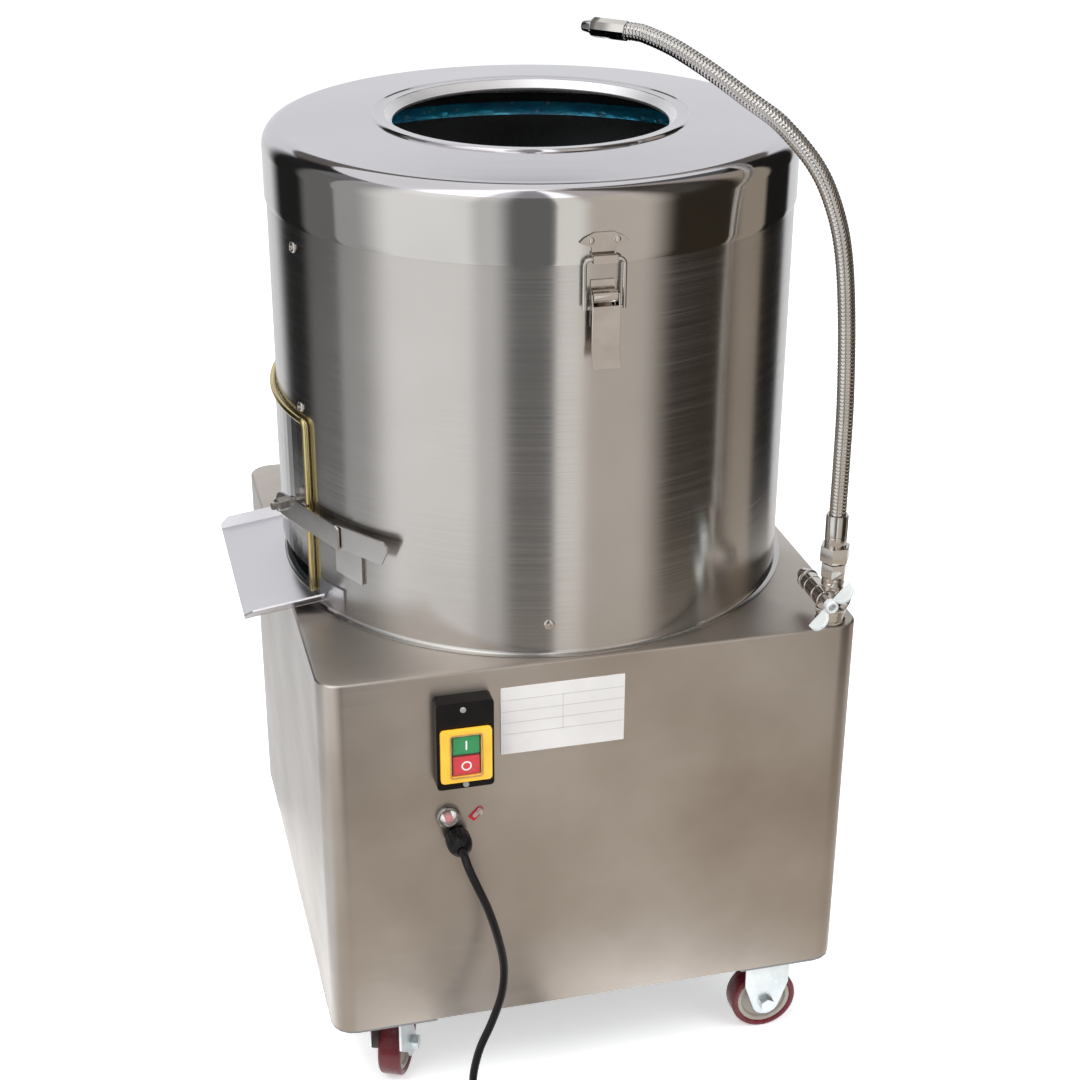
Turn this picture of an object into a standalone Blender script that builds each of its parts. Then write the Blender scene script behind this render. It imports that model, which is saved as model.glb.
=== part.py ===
"""Potato peeling machine: a square cabinet on casters, a peeling drum with a lid, a discharge door and a spray arm.

Metres, +Z up, front toward -Y. The origin lies on the floor under the middle of the machine's outline.
"""
import math

import bmesh
import bpy
from mathutils import Matrix, Vector

# Fits shared by every piece
gap = 0.0003                      # between pieces that touch
running_gap = 0.0005              # round a piece that turns or slides
cut_overrun = 0.004               # how far a cutter passes the wall that it cuts
weld_distance = 0.00001
round_steps = 36                  # sides of the drum, the lid and what lines up with them
middle_steps = 20
small_steps = 16
pin_steps = 10

# Cabinet
cabinet_width = 0.560
cabinet_height = 0.416
cabinet_corner_radius = 0.025
cabinet_edge_radius = 0.003
cabinet_sheet = 0.0015
cabinet_well_inset = 0.030        # round hole in the top, smaller than the drum by this
ground_clearance = 0.110          # floor to the lower edge of the sheet

# Base frame inside the cabinet
rail_width = 0.030
rail_height = 0.030
corner_plate_reach = 0.110
corner_plate_thickness = 0.0022
post_width = 0.020
shelf_thickness = 0.005
shelf_drop = 0.0205               # top of the motor shelf below the middle of the belt
shelf_inner_reach = 0.095         # shelf edge to the motor axis, toward the drum axis

# Casters
wheel_radius = 0.0375
wheel_width = 0.026
wheel_rim_radius = 0.0305
wheel_hub_radius = 0.011
wheel_tread_crown = 0.004
axle_radius = 0.004
axle_nut_radius = 0.0085
axle_nut_length = 0.007
caster_inset_x = 0.067
caster_inset_y = 0.045
caster_plate_length = 0.084
caster_plate_width = 0.060
caster_plate_thickness = 0.003
fork_sheet = 0.0025
fork_top_width = 0.051
fork_shoulder_height = 0.062
fork_end_radius = 0.016
fork_side_clearance = 0.0025
fork_crown_height = 0.096         # underside of the fork's crown above the floor
swivel_head_radius = 0.023
swivel_trail = 0.022
swivel_front_heading = 65.0       # degrees, the way that the front swivel wheel trails
swivel_rear_heading = 100.0

# Drum
drum_radius = 0.270
drum_wall = 0.0015
drum_top_height = 0.970           # rim above the floor
drum_flange_width = 0.0065
drum_flange_height = 0.0045
liner_thickness = 0.0035
liner_top_drop = 0.006
drum_floor_thickness = 0.002

# Doorway and discharge door
doorway_width = 0.158
doorway_bottom_rise = 0.014       # above the cabinet top
doorway_height = 0.182
doorway_corner_radius = 0.010
door_half_angle = 18.5            # degrees each side of the doorway's middle
door_bottom_rise = 0.036
door_height = 0.1605
door_sheet = 0.0015
hinge_angle = 159.5               # degrees round the drum
hinge_pin_radius = 0.002
hinge_knuckle_radius = 0.0045
hinge_height = 0.115
hinge_moving_share = 0.52
hinge_leaf_angle = 7.0
hinge_swing_clearance = 0.0008
rod_radius = 0.00325
rod_angle = 200.5
rod_bend_radius = 0.006
rod_foot_rise = 0.0145            # foot above the cabinet top

# Door lever and keeper
lever_plane_angle = 203.0         # degrees, where the lever's bar runs along the drum
lever_pivot_angle = 192.0
lever_height_above_top = 0.099    # lever's centre line above the cabinet top
lever_bar_depth = 0.025
lever_bar_thickness = 0.0025
lever_bar_length = 0.107          # pivot to the joggle
lever_grip_length = 0.071
lever_grip_overlap = 0.007
lever_grip_tilt = 13.0            # degrees toward the drum
lever_rod_clearance = 0.0012
lever_bolt_radius = 0.004
lever_bolt_head_radius = 0.0075
lever_bolt_head_length = 0.012
lever_spacer_radius = 0.006
lever_nut_length = 0.0055
keeper_angle = 214.0
keeper_width = 0.038
keeper_height = 0.045
keeper_sheet = 0.002
keeper_stand_off = 0.001
keeper_lever_overlap = 0.0075

# Discharge tray
tray_overhang = 0.050             # outer edge beyond the side of the cabinet
tray_width = 0.224
tray_sheet = 0.002
tray_foot_rise = 0.0056           # least rise of the underside at the drum, above the cabinet top
tray_edge_clearance = 0.0025      # least room between the underside and the edge of the cabinet top
tray_slope = 8.0                  # degrees, down and away from the drum
tray_flange_width = 0.013
tray_flange_lean = 48.0           # degrees up from the plate
tray_corner_radius = 0.006
tray_tab_reach = 0.034            # along the drum, beyond each end
tray_tab_height = 0.024

# Lid
lid_clearance = 0.0008
lid_wall = 0.0012
lid_skirt_lap = 0.043             # how far the skirt reaches down over the drum
lid_shoulder_radius = 0.025
lid_edge_rise = 0.028             # top of the shoulder above the drum's rim
lid_mouth_rise = 0.036
lid_mouth_radius = 0.1405
lid_mouth_turn_down = 0.014
lid_mouth_lip_radius = 0.0035
lid_bead_radius = 0.160
lid_bead_width = 0.014
lid_bead_rise = 0.0022
gasket_width = 0.011

# Toggle latches
latch_plate_sheet = 0.0015
latch_plate_half_width = 0.0235
latch_plate_top_above_seam = 0.030
latch_plate_tip_above_seam = 0.021
latch_neck_half_width = 0.0115
latch_hook_reach = 0.0072
latch_hook_height = 0.0075
latch_hook_foot_above_seam = 0.0025
bail_wire_radius = 0.002
bail_half_width = 0.019
bail_corner_radius = 0.006
bail_length = 0.0475
pivot_drop = 0.029                # lever pivot below the skirt's edge
pivot_stand_off = 0.0075
barrel_radius = 0.006
barrel_half_length = 0.0115
latch_pin_radius = 0.002
base_plate_height = 0.044
base_plate_top_above_pivot = 0.014
lever_cheek_radius = 0.0052
lever_cheek_sheet = 0.0015
lever_plate_sheet = 0.0013
lever_plate_stand_off = 0.0062    # plate's inner face beyond the pivot
lever_plate_length = 0.042
lever_plate_drop = 0.0075         # plate's upper edge below the pivot
lever_tip_length = 0.016
lever_tip_flare = 0.006
lever_cheek_drop = 0.014
bail_pin_drop = 0.010
bail_pin_stand_off = 0.002
bail_pin_radius = 0.0018

# Turntable, shaft and drive
disc_edge_room = 0.020            # from the disc's edge to the drum's outside
disc_thickness = 0.008
disc_rise = 0.0235                # disc's underside above the cabinet top
disc_hub_radius = 0.030
disc_hub_length = 0.018
ridge_count = 4
ridge_half_width = 0.017
ridge_height = 0.015
ridge_inner_radius = 0.050
ridge_edge_inset = 0.018          # end of the ridges from the disc's edge
shaft_radius = 0.0125
cap_nut_radius = 0.021
cap_nut_height = 0.013
housing_flange_radius = 0.075
housing_flange_thickness = 0.008
housing_body_radius = 0.038
housing_length = 0.096
housing_lip = 0.008
bearing_radius = 0.026
bearing_width = 0.015
bearing_spacing = 0.059
bearing_top_drop = 0.012
seal_radius = 0.0202
seal_height = 0.0127
belt_drop = 0.0425                # middle of the belt below the bearing housing
belt_thickness = 0.008
belt_width = 0.005
pulley_rim_height = 0.020
pulley_groove_depth = 0.010
pulley_groove_floor = 0.006
pulley_web = 0.004
pulley_rim_wall = 0.008
driven_pulley_radius = 0.130
driven_hub_height = 0.028
motor_pulley_radius = 0.035
motor_shaft_radius = 0.007
motor_x = 0.150
motor_y = 0.140
motor_radius = 0.075
motor_clearance = 0.0167          # motor's lower end above the rails
motor_flange_radius = 0.070
motor_flange_thickness = 0.008
motor_spigot_radius = 0.040
motor_spigot_height = 0.002
motor_fan_cover_height = 0.045
motor_fan_cover_step = 0.004
terminal_box_width = 0.070
terminal_box_height = 0.060
terminal_box_depth = 0.030

# Drain
drain_pipe_radius = 0.0245
drain_wall = 0.003
drain_offset = 0.200              # drain hole from the drum axis, toward the back
drain_drop = 0.070                # outlet's centre below the drum floor
drain_bend_radius = 0.050
drain_reach = 0.032               # beyond the back of the cabinet

# Front panel
switch_x = -0.1395
switch_drop = 0.072               # middle of the switch box below the cabinet top
switch_box_width = 0.058
switch_box_height = 0.098
switch_box_depth = 0.018
switch_box_corner = 0.004
switch_frame_width = 0.052
switch_frame_height = 0.060
switch_frame_depth = 0.004
switch_frame_drop = 0.0095        # middle of the frame below the middle of the box
switch_window_width = 0.030
switch_window_height = 0.046
button_width = 0.027
button_height = 0.0205
button_spacing = 0.0235
button_proud = 0.0035
button_depth = 0.008
button_travel = 0.004
button_edge = 0.0008
reset_x = -0.155
reset_drop = 0.1624               # below the cabinet top
reset_bezel_radius = 0.0125
reset_bezel_depth = 0.006
reset_button_radius = 0.0085
reset_button_depth = 0.013
reset_dome_height = 0.005
reset_proud = 0.0004
earth_x = -0.122
earth_drop = 0.161                # below the cabinet top
earth_head_radius = 0.0045
earth_head_length = 0.004
earth_tag_length = 0.017
earth_tag_width = 0.008
earth_tag_sheet = 0.0008
earth_tag_angle = 45.0
gland_x = -0.147
gland_drop = 0.186                # below the cabinet top
gland_reach = 0.032
gland_nut_radius = 0.013
gland_neck_radius = 0.0095
gland_nose_radius = 0.0065
gland_shank_radius = 0.0078
gland_shank_length = 0.010
plate_x = -0.036
plate_drop = 0.061                # middle of the plate below the cabinet top
plate_width = 0.128
plate_depth = 0.076
plate_thickness = 0.0008

# Water fitting and spray arm
valve_inset_x = 0.028             # riser axis from the right side of the cabinet
valve_inset_y = 0.018             # riser axis from the front of the cabinet
valve_run_rise = 0.029            # middle of the run above the cabinet top
nipple_radius = 0.0155
nipple_height = 0.014
nipple_collar_radius = 0.0165
nipple_collar_height = 0.004
riser_radius = 0.0115
riser_height = 0.051
cartridge_offset = 0.0105         # cartridge axis beside the riser
cartridge_radius = 0.0105
cartridge_back = 0.054
cartridge_front = 0.012
stem_radius = 0.0045
stem_reach = 0.0200
port_angle = 14.0                 # degrees off straight ahead
port_reach = 0.0165
port_radius = 0.013
port_bore_radius = 0.0098
port_depth = 0.011
handle_length = 0.030             # hub to the tip of a wing
handle_thickness = 0.0035
handle_bar_depth = 0.006
handle_wing_length = 0.023
handle_wing_rise = 0.013          # of a wing in front of the bar
handle_hub_radius = 0.0068
handle_hub_depth = 0.009
handle_rest_angle = 48.0
union_hex_radius = 0.0135
union_hex_height = 0.015
nut_hex_radius = 0.0158
nut_hex_height = 0.017
union_neck_radius = 0.0095
union_neck_height = 0.002
ferrule_radius = 0.0112
ferrule_height = 0.034
hose_radius = 0.0088
hose_valley_depth = 0.0007
hose_bore_radius = 0.0055
hose_rib_count = 78
hose_bore_points = 34
arm_over_lid = 0.0896             # end of the hose above the lid's mouth
arm_end_radius = 0.1105           # end of the hose from the drum axis
nozzle_radius = 0.0098
nozzle_length = 0.038
nozzle_tip_radius = 0.0052
nozzle_tip_length = 0.012
nozzle_bore_radius = 0.0028
nozzle_bore_depth = 0.010

# Mains lead: its visible run, then a coil of the length that is put away
cord_radius = 0.00425
coil_turns_per_layer = 2.5
coil_points_per_turn = 24
coil_pitch = 0.0092
coil_inner_radius = 0.034
coil_layer_rise = 0.0095
coil_climb_dip = 0.0015           # inward, where the cord climbs to the upper layer
coil_tail_length = 0.030
coil_tail_rise = 0.0035
tie_band = 0.001
tie_width = 0.009
tie_clearance = 0.0008
plug_body_radius = 0.0185
plug_body_length = 0.036
plug_neck_radius = 0.008
plug_neck_length = 0.022
plug_pin_radius = 0.0024
plug_pin_length = 0.019
plug_pin_spacing = 0.019
plug_pin_points = 8

# Worked out from the sizes above
cabinet_top = ground_clearance + cabinet_height
half_cabinet = cabinet_width / 2
cabinet_well_radius = drum_radius - cabinet_well_inset
disc_radius = drum_radius - disc_edge_room
ridge_outer_radius = disc_radius - ridge_edge_inset
tray_reach = half_cabinet + tray_overhang
tray_rise = max(tray_foot_rise,
                tray_edge_clearance + (half_cabinet - drum_radius) * math.tan(math.radians(tray_slope)))
inner_half = half_cabinet - cabinet_sheet
front_y = -half_cabinet
lid_outer_radius = drum_radius + lid_clearance + lid_wall
lid_seam = drum_top_height - lid_skirt_lap
lid_edge_height = drum_top_height + lid_edge_rise
lid_mouth_height = drum_top_height + lid_mouth_rise
floor_plate_bottom = cabinet_top + gap
floor_plate_top = floor_plate_bottom + drum_floor_thickness
disc_bottom = cabinet_top + disc_rise
disc_top = disc_bottom + disc_thickness
doorway_bottom = cabinet_top + doorway_bottom_rise
door_bottom = cabinet_top + door_bottom_rise
door_top = door_bottom + door_height
door_inner_radius = drum_radius + gap
door_outer_radius = door_inner_radius + door_sheet
hinge_middle = door_bottom + door_height / 2
hinge_axis_radius = door_inner_radius + hinge_knuckle_radius + hinge_swing_clearance
lever_z = cabinet_top + lever_height_above_top
rod_centre_radius = drum_radius + gap + rod_radius + gap
rod_top = door_top + rod_radius + lever_rod_clearance
corner_plate_top = ground_clearance - gap
corner_plate_bottom = corner_plate_top - corner_plate_thickness
caster_plate_top = corner_plate_bottom - gap
caster_plate_bottom = caster_plate_top - caster_plate_thickness
caster_x = half_cabinet - caster_inset_x
caster_y = half_cabinet - caster_inset_y
switch_face_y = front_y - gap - switch_box_depth
belt_height = floor_plate_bottom - gap - housing_length - belt_drop
belt_low = belt_height - belt_width / 2
shelf_height = belt_height - shelf_drop
motor_low = ground_clearance + rail_height + motor_clearance
switch_height = cabinet_top - switch_drop
reset_height = cabinet_top - reset_drop
earth_height = cabinet_top - earth_drop
gland_height = cabinet_top - gland_drop
plate_height = cabinet_top - plate_drop
valve_x = half_cabinet - valve_inset_x
valve_y = valve_inset_y - half_cabinet
union_bottom = cabinet_top + riser_height + gap
union_nut_bottom = union_bottom + union_hex_height + union_neck_height
ferrule_top = union_nut_bottom + nut_hex_height + ferrule_height
arm_rise = lid_mouth_height + arm_over_lid - ferrule_top - gap
arm_reach = math.hypot(valve_x, valve_y) - arm_end_radius
drain_outlet_height = floor_plate_bottom - gap - drain_drop
coil_floor = tie_band + gap + cord_radius
coil_outer_radius = coil_inner_radius + coil_turns_per_layer * coil_pitch

# Route of the mains lead from the gland to the coil, chosen by hand
cord_route = [
    (-0.147, -0.3126, 0.340), (-0.147, -0.3215, 0.340), (-0.145, -0.334, 0.332), (-0.138, -0.341, 0.314),
    (-0.128, -0.343, 0.287), (-0.118, -0.342, 0.250), (-0.112, -0.341, 0.215), (-0.114, -0.341, 0.180),
    (-0.125, -0.342, 0.146), (-0.139, -0.344, 0.114), (-0.147, -0.348, 0.082), (-0.149, -0.357, 0.048),
    (-0.150, -0.373, 0.020), (-0.150, -0.392, 0.0080), (-0.150, -0.411, 0.0058), (-0.150, -0.4215, 0.00555),
]

# Shape of the spray arm in its upright plane, as shares of its reach toward the drum axis and of its rise,
# chosen by hand
arm_route_shares = [
    (0.0, 0.0), (0.0, 0.04), (0.0, 0.1222), (0.004, 0.2733), (0.0237, 0.4556), (0.0553, 0.5956),
    (0.1067, 0.6911), (0.1897, 0.7711), (0.332, 0.8444), (0.4822, 0.8911), (0.6324, 0.9356), (0.7905, 0.9756),
    (0.917, 0.9967), (0.9644, 1.0), (1.0, 1.0),
]


def clear_scene():
    """Remove what the scene holds."""
    for obj in list(bpy.data.objects):
        bpy.data.objects.remove(obj, do_unlink=True)
    for group in list(bpy.data.collections):
        bpy.data.collections.remove(group)


clear_scene()
parts = bpy.data.collections.new("potato_peeler")
cutters = bpy.data.collections.new("cutters")
bpy.context.scene.collection.children.link(parts)
bpy.context.scene.collection.children.link(cutters)


def finish(name, colour, metallic, roughness, alpha=1.0):
    """A Principled material."""
    material = bpy.data.materials.new(name)
    material.use_nodes = True
    shader = material.node_tree.nodes["Principled BSDF"]
    shader.inputs["Base Color"].default_value = (*colour, 1.0)
    shader.inputs["Metallic"].default_value = metallic
    shader.inputs["Roughness"].default_value = roughness
    shader.inputs["Alpha"].default_value = alpha
    return material


brushed = finish("brushed_stainless", (0.62, 0.60, 0.58), 1.0, 0.32)
polished = finish("polished_stainless", (0.70, 0.69, 0.68), 1.0, 0.16)
nickel = finish("nickel_plate", (0.66, 0.64, 0.60), 1.0, 0.20)
zinc = finish("zinc_plate", (0.60, 0.64, 0.66), 1.0, 0.35)
yellow_zinc = finish("yellow_zinc", (0.68, 0.58, 0.30), 1.0, 0.30)
mild_steel = finish("painted_steel", (0.16, 0.17, 0.18), 0.0, 0.55)
cast = finish("cast_iron", (0.20, 0.20, 0.21), 0.6, 0.60)
ground_steel = finish("ground_steel", (0.62, 0.62, 0.63), 1.0, 0.28)
grit = finish("abrasive", (0.035, 0.037, 0.04), 0.0, 0.95)
rubber = finish("black_rubber", (0.02, 0.02, 0.02), 0.0, 0.65)
black_plastic = finish("black_plastic", (0.015, 0.015, 0.016), 0.0, 0.35)
yellow_plastic = finish("yellow_plastic", (0.95, 0.62, 0.06), 0.0, 0.35)
green_plastic = finish("green_plastic", (0.03, 0.42, 0.14), 0.0, 0.30)
red_plastic = finish("red_plastic", (0.68, 0.08, 0.10), 0.0, 0.30)
white_plastic = finish("white_plastic", (0.82, 0.84, 0.84), 0.0, 0.40)
clear_rubber = finish("clear_rubber", (0.80, 0.45, 0.45), 0.0, 0.20, 0.8)
tread = finish("wine_tread", (0.20, 0.012, 0.03), 0.0, 0.30)
label = finish("plate_face", (0.84, 0.83, 0.81), 0.0, 0.45)
motor_paint = finish("motor_paint", (0.18, 0.24, 0.30), 0.0, 0.50)
pipe_grey = finish("pipe_grey", (0.45, 0.46, 0.47), 0.0, 0.45)

# The machine's outline reaches farther left than right, so its frame stands off the drum axis by half of that
root = bpy.data.objects.new("machine_frame", None)
root.location = ((tray_reach - half_cabinet) / 2, (gland_reach - drain_reach) / 2, 0)
parts.objects.link(root)


def empty(name, location, turn=0.0, parent=root):
    """An empty that carries pieces; turn is in degrees about Z."""
    obj = bpy.data.objects.new(name, None)
    obj.parent = parent
    obj.location = location
    obj.rotation_euler = (0, 0, math.radians(turn))
    parts.objects.link(obj)
    return obj


def frame_matrix(origin, side, up):
    """Placement whose local X and Y run along side and up."""
    side = Vector(side).normalized()
    up = Vector(up).normalized()
    normal = side.cross(up)
    matrix = Matrix((side, up, normal)).transposed().to_4x4()
    matrix.translation = Vector(origin)
    return matrix


def settle(obj, material, parent, matrix):
    """Give an object its material, parent and placement, and put it with the parts."""
    if material:
        obj.data.materials.append(material)
    obj.parent = parent
    obj.matrix_local = matrix
    parts.objects.link(obj)
    return obj


def from_bmesh(name, bm, material, parent, matrix, smooth=False):
    """An object that holds a finished bmesh."""
    bmesh.ops.recalc_face_normals(bm, faces=bm.faces)
    mesh = bpy.data.meshes.new(name)
    bm.to_mesh(mesh)
    bm.free()
    obj = settle(bpy.data.objects.new(name, mesh), material, parent, matrix)
    if smooth:
        shade_round(obj)
    return obj


def shade_round(obj):
    """Smooth shading with sharp corners kept."""
    obj.data.shade_smooth()
    obj.data.set_sharp_from_angle(angle=math.radians(35))


def block(name, size, centre, material=None, parent=root, corner=0.0, corner_axis=2, turn=0.0, segments=3):
    """A box; corner rounds its edges along one axis."""
    bm = bmesh.new()
    bmesh.ops.create_cube(bm, size=1.0)
    bmesh.ops.scale(bm, vec=size, verts=bm.verts)
    if corner > 0:
        along = [e for e in bm.edges if abs((e.verts[0].co - e.verts[1].co)[corner_axis]) > size[corner_axis] / 2]
        bmesh.ops.bevel(bm, geom=along, offset=corner, segments=segments, profile=0.5, affect='EDGES')
    matrix = Matrix.Translation(centre) @ Matrix.Rotation(math.radians(turn), 4, 'Z')
    return from_bmesh(name, bm, material, parent, matrix, smooth=corner > 0)


def rod(name, radius, start, end, material=None, parent=root, steps=small_steps, end_radius=None, origin=None):
    """A cylinder or cone between two points; origin moves the object's own origin."""
    start = Vector(start)
    end = Vector(end)
    axis = end - start
    bm = bmesh.new()
    bmesh.ops.create_cone(bm, cap_ends=True, segments=steps, radius1=radius,
                          radius2=radius if end_radius is None else end_radius, depth=axis.length)
    turn = Vector((0, 0, 1)).rotation_difference(axis).to_matrix().to_4x4()
    place = Vector(origin) if origin is not None else (start + end) / 2
    bmesh.ops.transform(bm, matrix=Matrix.Translation((start + end) / 2 - place) @ turn, verts=bm.verts)
    return from_bmesh(name, bm, material, parent, Matrix.Translation(place), smooth=True)


def turned(name, outline, origin, material=None, parent=root, steps=round_steps, axis=(0, 0, 1), closed=True,
           wall=0.0):
    """A turned shape from points of radius and height; wall gives an open outline its thickness, inward."""
    mesh = bpy.data.meshes.new(name)
    points = [(radius, 0, height) for radius, height in outline]
    edges = [(i, i + 1) for i in range(len(points) - 1)]
    if closed:
        edges.append((len(points) - 1, 0))
    mesh.from_pydata(points, edges, [])
    turn = Vector((0, 0, 1)).rotation_difference(Vector(axis)).to_matrix().to_4x4()
    obj = settle(bpy.data.objects.new(name, mesh), material, parent, Matrix.Translation(origin) @ turn)
    screw = obj.modifiers.new("turn", 'SCREW')
    screw.steps = steps
    screw.render_steps = steps
    screw.angle = 2 * math.pi
    screw.use_merge_vertices = True
    screw.merge_threshold = weld_distance
    screw.use_smooth_shade = True
    if wall > 0:
        solid = obj.modifiers.new("wall", 'SOLIDIFY')
        solid.thickness = wall
        solid.offset = -1
        solid.use_even_offset = True
    return obj


def prism(name, loops, thickness, matrix, material=None, parent=root):
    """A flat outline, with any holes as further loops, extruded half its thickness each way and made a mesh."""
    curve = bpy.data.curves.new(name, 'CURVE')
    curve.dimensions = '2D'
    curve.fill_mode = 'BOTH'
    curve.extrude = thickness / 2
    for loop in loops:
        line = curve.splines.new('POLY')
        line.points.add(len(loop) - 1)
        line.use_cyclic_u = True
        for point, (x, y) in zip(line.points, loop):
            point.co = (x, y, 0, 1)
    return curve_to_mesh(name, curve, material, parent, matrix)


def curve_to_mesh(name, curve, material, parent, matrix):
    """Turn a curve into a closed mesh object at the same place."""
    guide = bpy.data.objects.new(name + "_curve", curve)
    bpy.context.scene.collection.objects.link(guide)
    bpy.context.view_layer.update()
    graph = bpy.context.evaluated_depsgraph_get()
    mesh = bpy.data.meshes.new_from_object(guide.evaluated_get(graph))
    bpy.data.objects.remove(guide, do_unlink=True)
    bm = bmesh.new()
    bm.from_mesh(mesh)
    bmesh.ops.remove_doubles(bm, verts=bm.verts, dist=weld_distance)
    return from_bmesh(name, bm, material, parent, matrix, smooth=True)


def tube(name, points, radius, material=None, parent=root, resolution=2, radii=None, mesh=False):
    """A tube along points; radii scales it point by point, and mesh welds its ends so that it can be cut."""
    curve = bpy.data.curves.new(name, 'CURVE')
    curve.dimensions = '3D'
    curve.bevel_depth = radius
    curve.bevel_resolution = resolution
    curve.use_fill_caps = True
    line = curve.splines.new('POLY')
    line.points.add(len(points) - 1)
    for index, point in enumerate(points):
        line.points[index].co = (*point, 1)
        line.points[index].radius = radii[index] if radii else 1.0
    if mesh:
        return curve_to_mesh(name, curve, material, parent, Matrix.Identity(4))
    return settle(bpy.data.objects.new(name, curve), material, parent, Matrix.Identity(4))


def combine(target, tools, operation):
    """Boolean modifiers on target, one for each tool; the tools take its parent and go with the cutters."""
    for tool in tools:
        step = target.modifiers.new(operation.lower(), 'BOOLEAN')
        step.operation = operation
        step.solver = 'EXACT'
        step.object = tool
        tool.parent = target.parent
        parts.objects.unlink(tool)
        cutters.objects.link(tool)
        tool.hide_render = True
        tool.display_type = 'WIRE'
    return target


def cut(target, *tools):
    """Take the tools out of target."""
    return combine(target, tools, 'DIFFERENCE')


def fuse(target, *tools):
    """Join the tools to target as one body."""
    return combine(target, tools, 'UNION')


def arc(centre, radius, start, end, count):
    """Points on an arc from start to end degrees, both ends included."""
    angles = [math.radians(start + (end - start) * i / (count - 1)) for i in range(count)]
    return [(centre[0] + radius * math.cos(a), centre[1] + radius * math.sin(a)) for a in angles]


def around(radius, degrees, height):
    """A point round the drum axis."""
    angle = math.radians(degrees)
    return Vector((radius * math.cos(angle), radius * math.sin(angle), height))


def sector(name, inner, outer, start, end, low, high, material=None, parent=root, count=9, origin=(0, 0, 0)):
    """A curved plate round the drum axis between two angles in degrees; origin is where its parent stands."""
    loop = arc((0, 0), outer, start, end, count) + arc((0, 0), inner, end, start, count)
    matrix = Matrix.Translation(Vector((0, 0, (low + high) / 2)) - Vector(origin))
    return prism(name, [loop], high - low, matrix, material, parent)


def smooth_points(route, count):
    """Evenly spaced points on a smooth curve through a route."""
    knots = [Vector(p) for p in route]
    fine = []
    steps = 24
    for i in range(len(knots) - 1):
        before = knots[i - 1] if i > 0 else knots[i] * 2 - knots[i + 1]
        after = knots[i + 2] if i + 2 < len(knots) else knots[i + 1] * 2 - knots[i]
        for k in range(steps):
            t = k / steps
            lead = (knots[i + 1] - before) / 2
            trail = (after - knots[i]) / 2
            fine.append((2 * t ** 3 - 3 * t ** 2 + 1) * knots[i] + (t ** 3 - 2 * t ** 2 + t) * lead
                        + (3 * t ** 2 - 2 * t ** 3) * knots[i + 1] + (t ** 3 - t ** 2) * trail)
    fine.append(knots[-1])
    lengths = [0.0]
    for a, b in zip(fine, fine[1:]):
        lengths.append(lengths[-1] + (b - a).length)
    points = []
    place = 0
    for i in range(count):
        wanted = lengths[-1] * i / (count - 1)
        while place < len(fine) - 2 and lengths[place + 1] < wanted:
            place += 1
        share = (wanted - lengths[place]) / max(lengths[place + 1] - lengths[place], weld_distance)
        points.append(fine[place].lerp(fine[place + 1], min(share, 1.0)))
    return points, lengths[-1]


# Cabinet


def build_cabinet():
    """Sheet box, open below, with the well under the drum and the holes of its fittings."""
    bm = bmesh.new()
    bmesh.ops.create_cube(bm, size=1.0)
    bmesh.ops.scale(bm, vec=(cabinet_width, cabinet_width, cabinet_height), verts=bm.verts)
    upright = [e for e in bm.edges if abs(e.verts[0].co.z - e.verts[1].co.z) > cabinet_height / 2]
    bmesh.ops.bevel(bm, geom=upright, offset=cabinet_corner_radius, segments=4, profile=0.5, affect='EDGES')
    upper = [e for e in bm.edges if min(v.co.z for v in e.verts) > 0]
    bmesh.ops.bevel(bm, geom=upper, offset=cabinet_edge_radius, segments=1, profile=0.5, affect='EDGES')
    lowest = [f for f in bm.faces if max(v.co.z for v in f.verts) < 0]
    bmesh.ops.delete(bm, geom=lowest, context='FACES')
    matrix = Matrix.Translation((0, 0, ground_clearance + cabinet_height / 2))
    shell = from_bmesh("cabinet_shell", bm, brushed, root, matrix, smooth=True)
    wall = shell.modifiers.new("wall", 'SOLIDIFY')
    wall.thickness = cabinet_sheet
    wall.offset = -1
    wall.use_even_offset = True
    through = cabinet_sheet + cut_overrun
    front_in = front_y + through
    front_out = front_y - cut_overrun
    back_in = half_cabinet - through
    back_out = half_cabinet + cut_overrun
    gland_hole = gland_shank_radius + gap
    reset_hole = reset_button_radius + running_gap
    drain_hole = drain_pipe_radius + gap
    return cut(
        shell,
        rod("cut_well", cabinet_well_radius, (0, 0, cabinet_top - through), (0, 0, cabinet_top + cut_overrun),
            steps=round_steps),
        rod("cut_gland", gland_hole, (gland_x, front_in, gland_height), (gland_x, front_out, gland_height)),
        rod("cut_reset", reset_hole, (reset_x, front_in, reset_height), (reset_x, front_out, reset_height)),
        rod("cut_drain", drain_hole, (0, back_in, drain_outlet_height), (0, back_out, drain_outlet_height)),
    )


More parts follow.
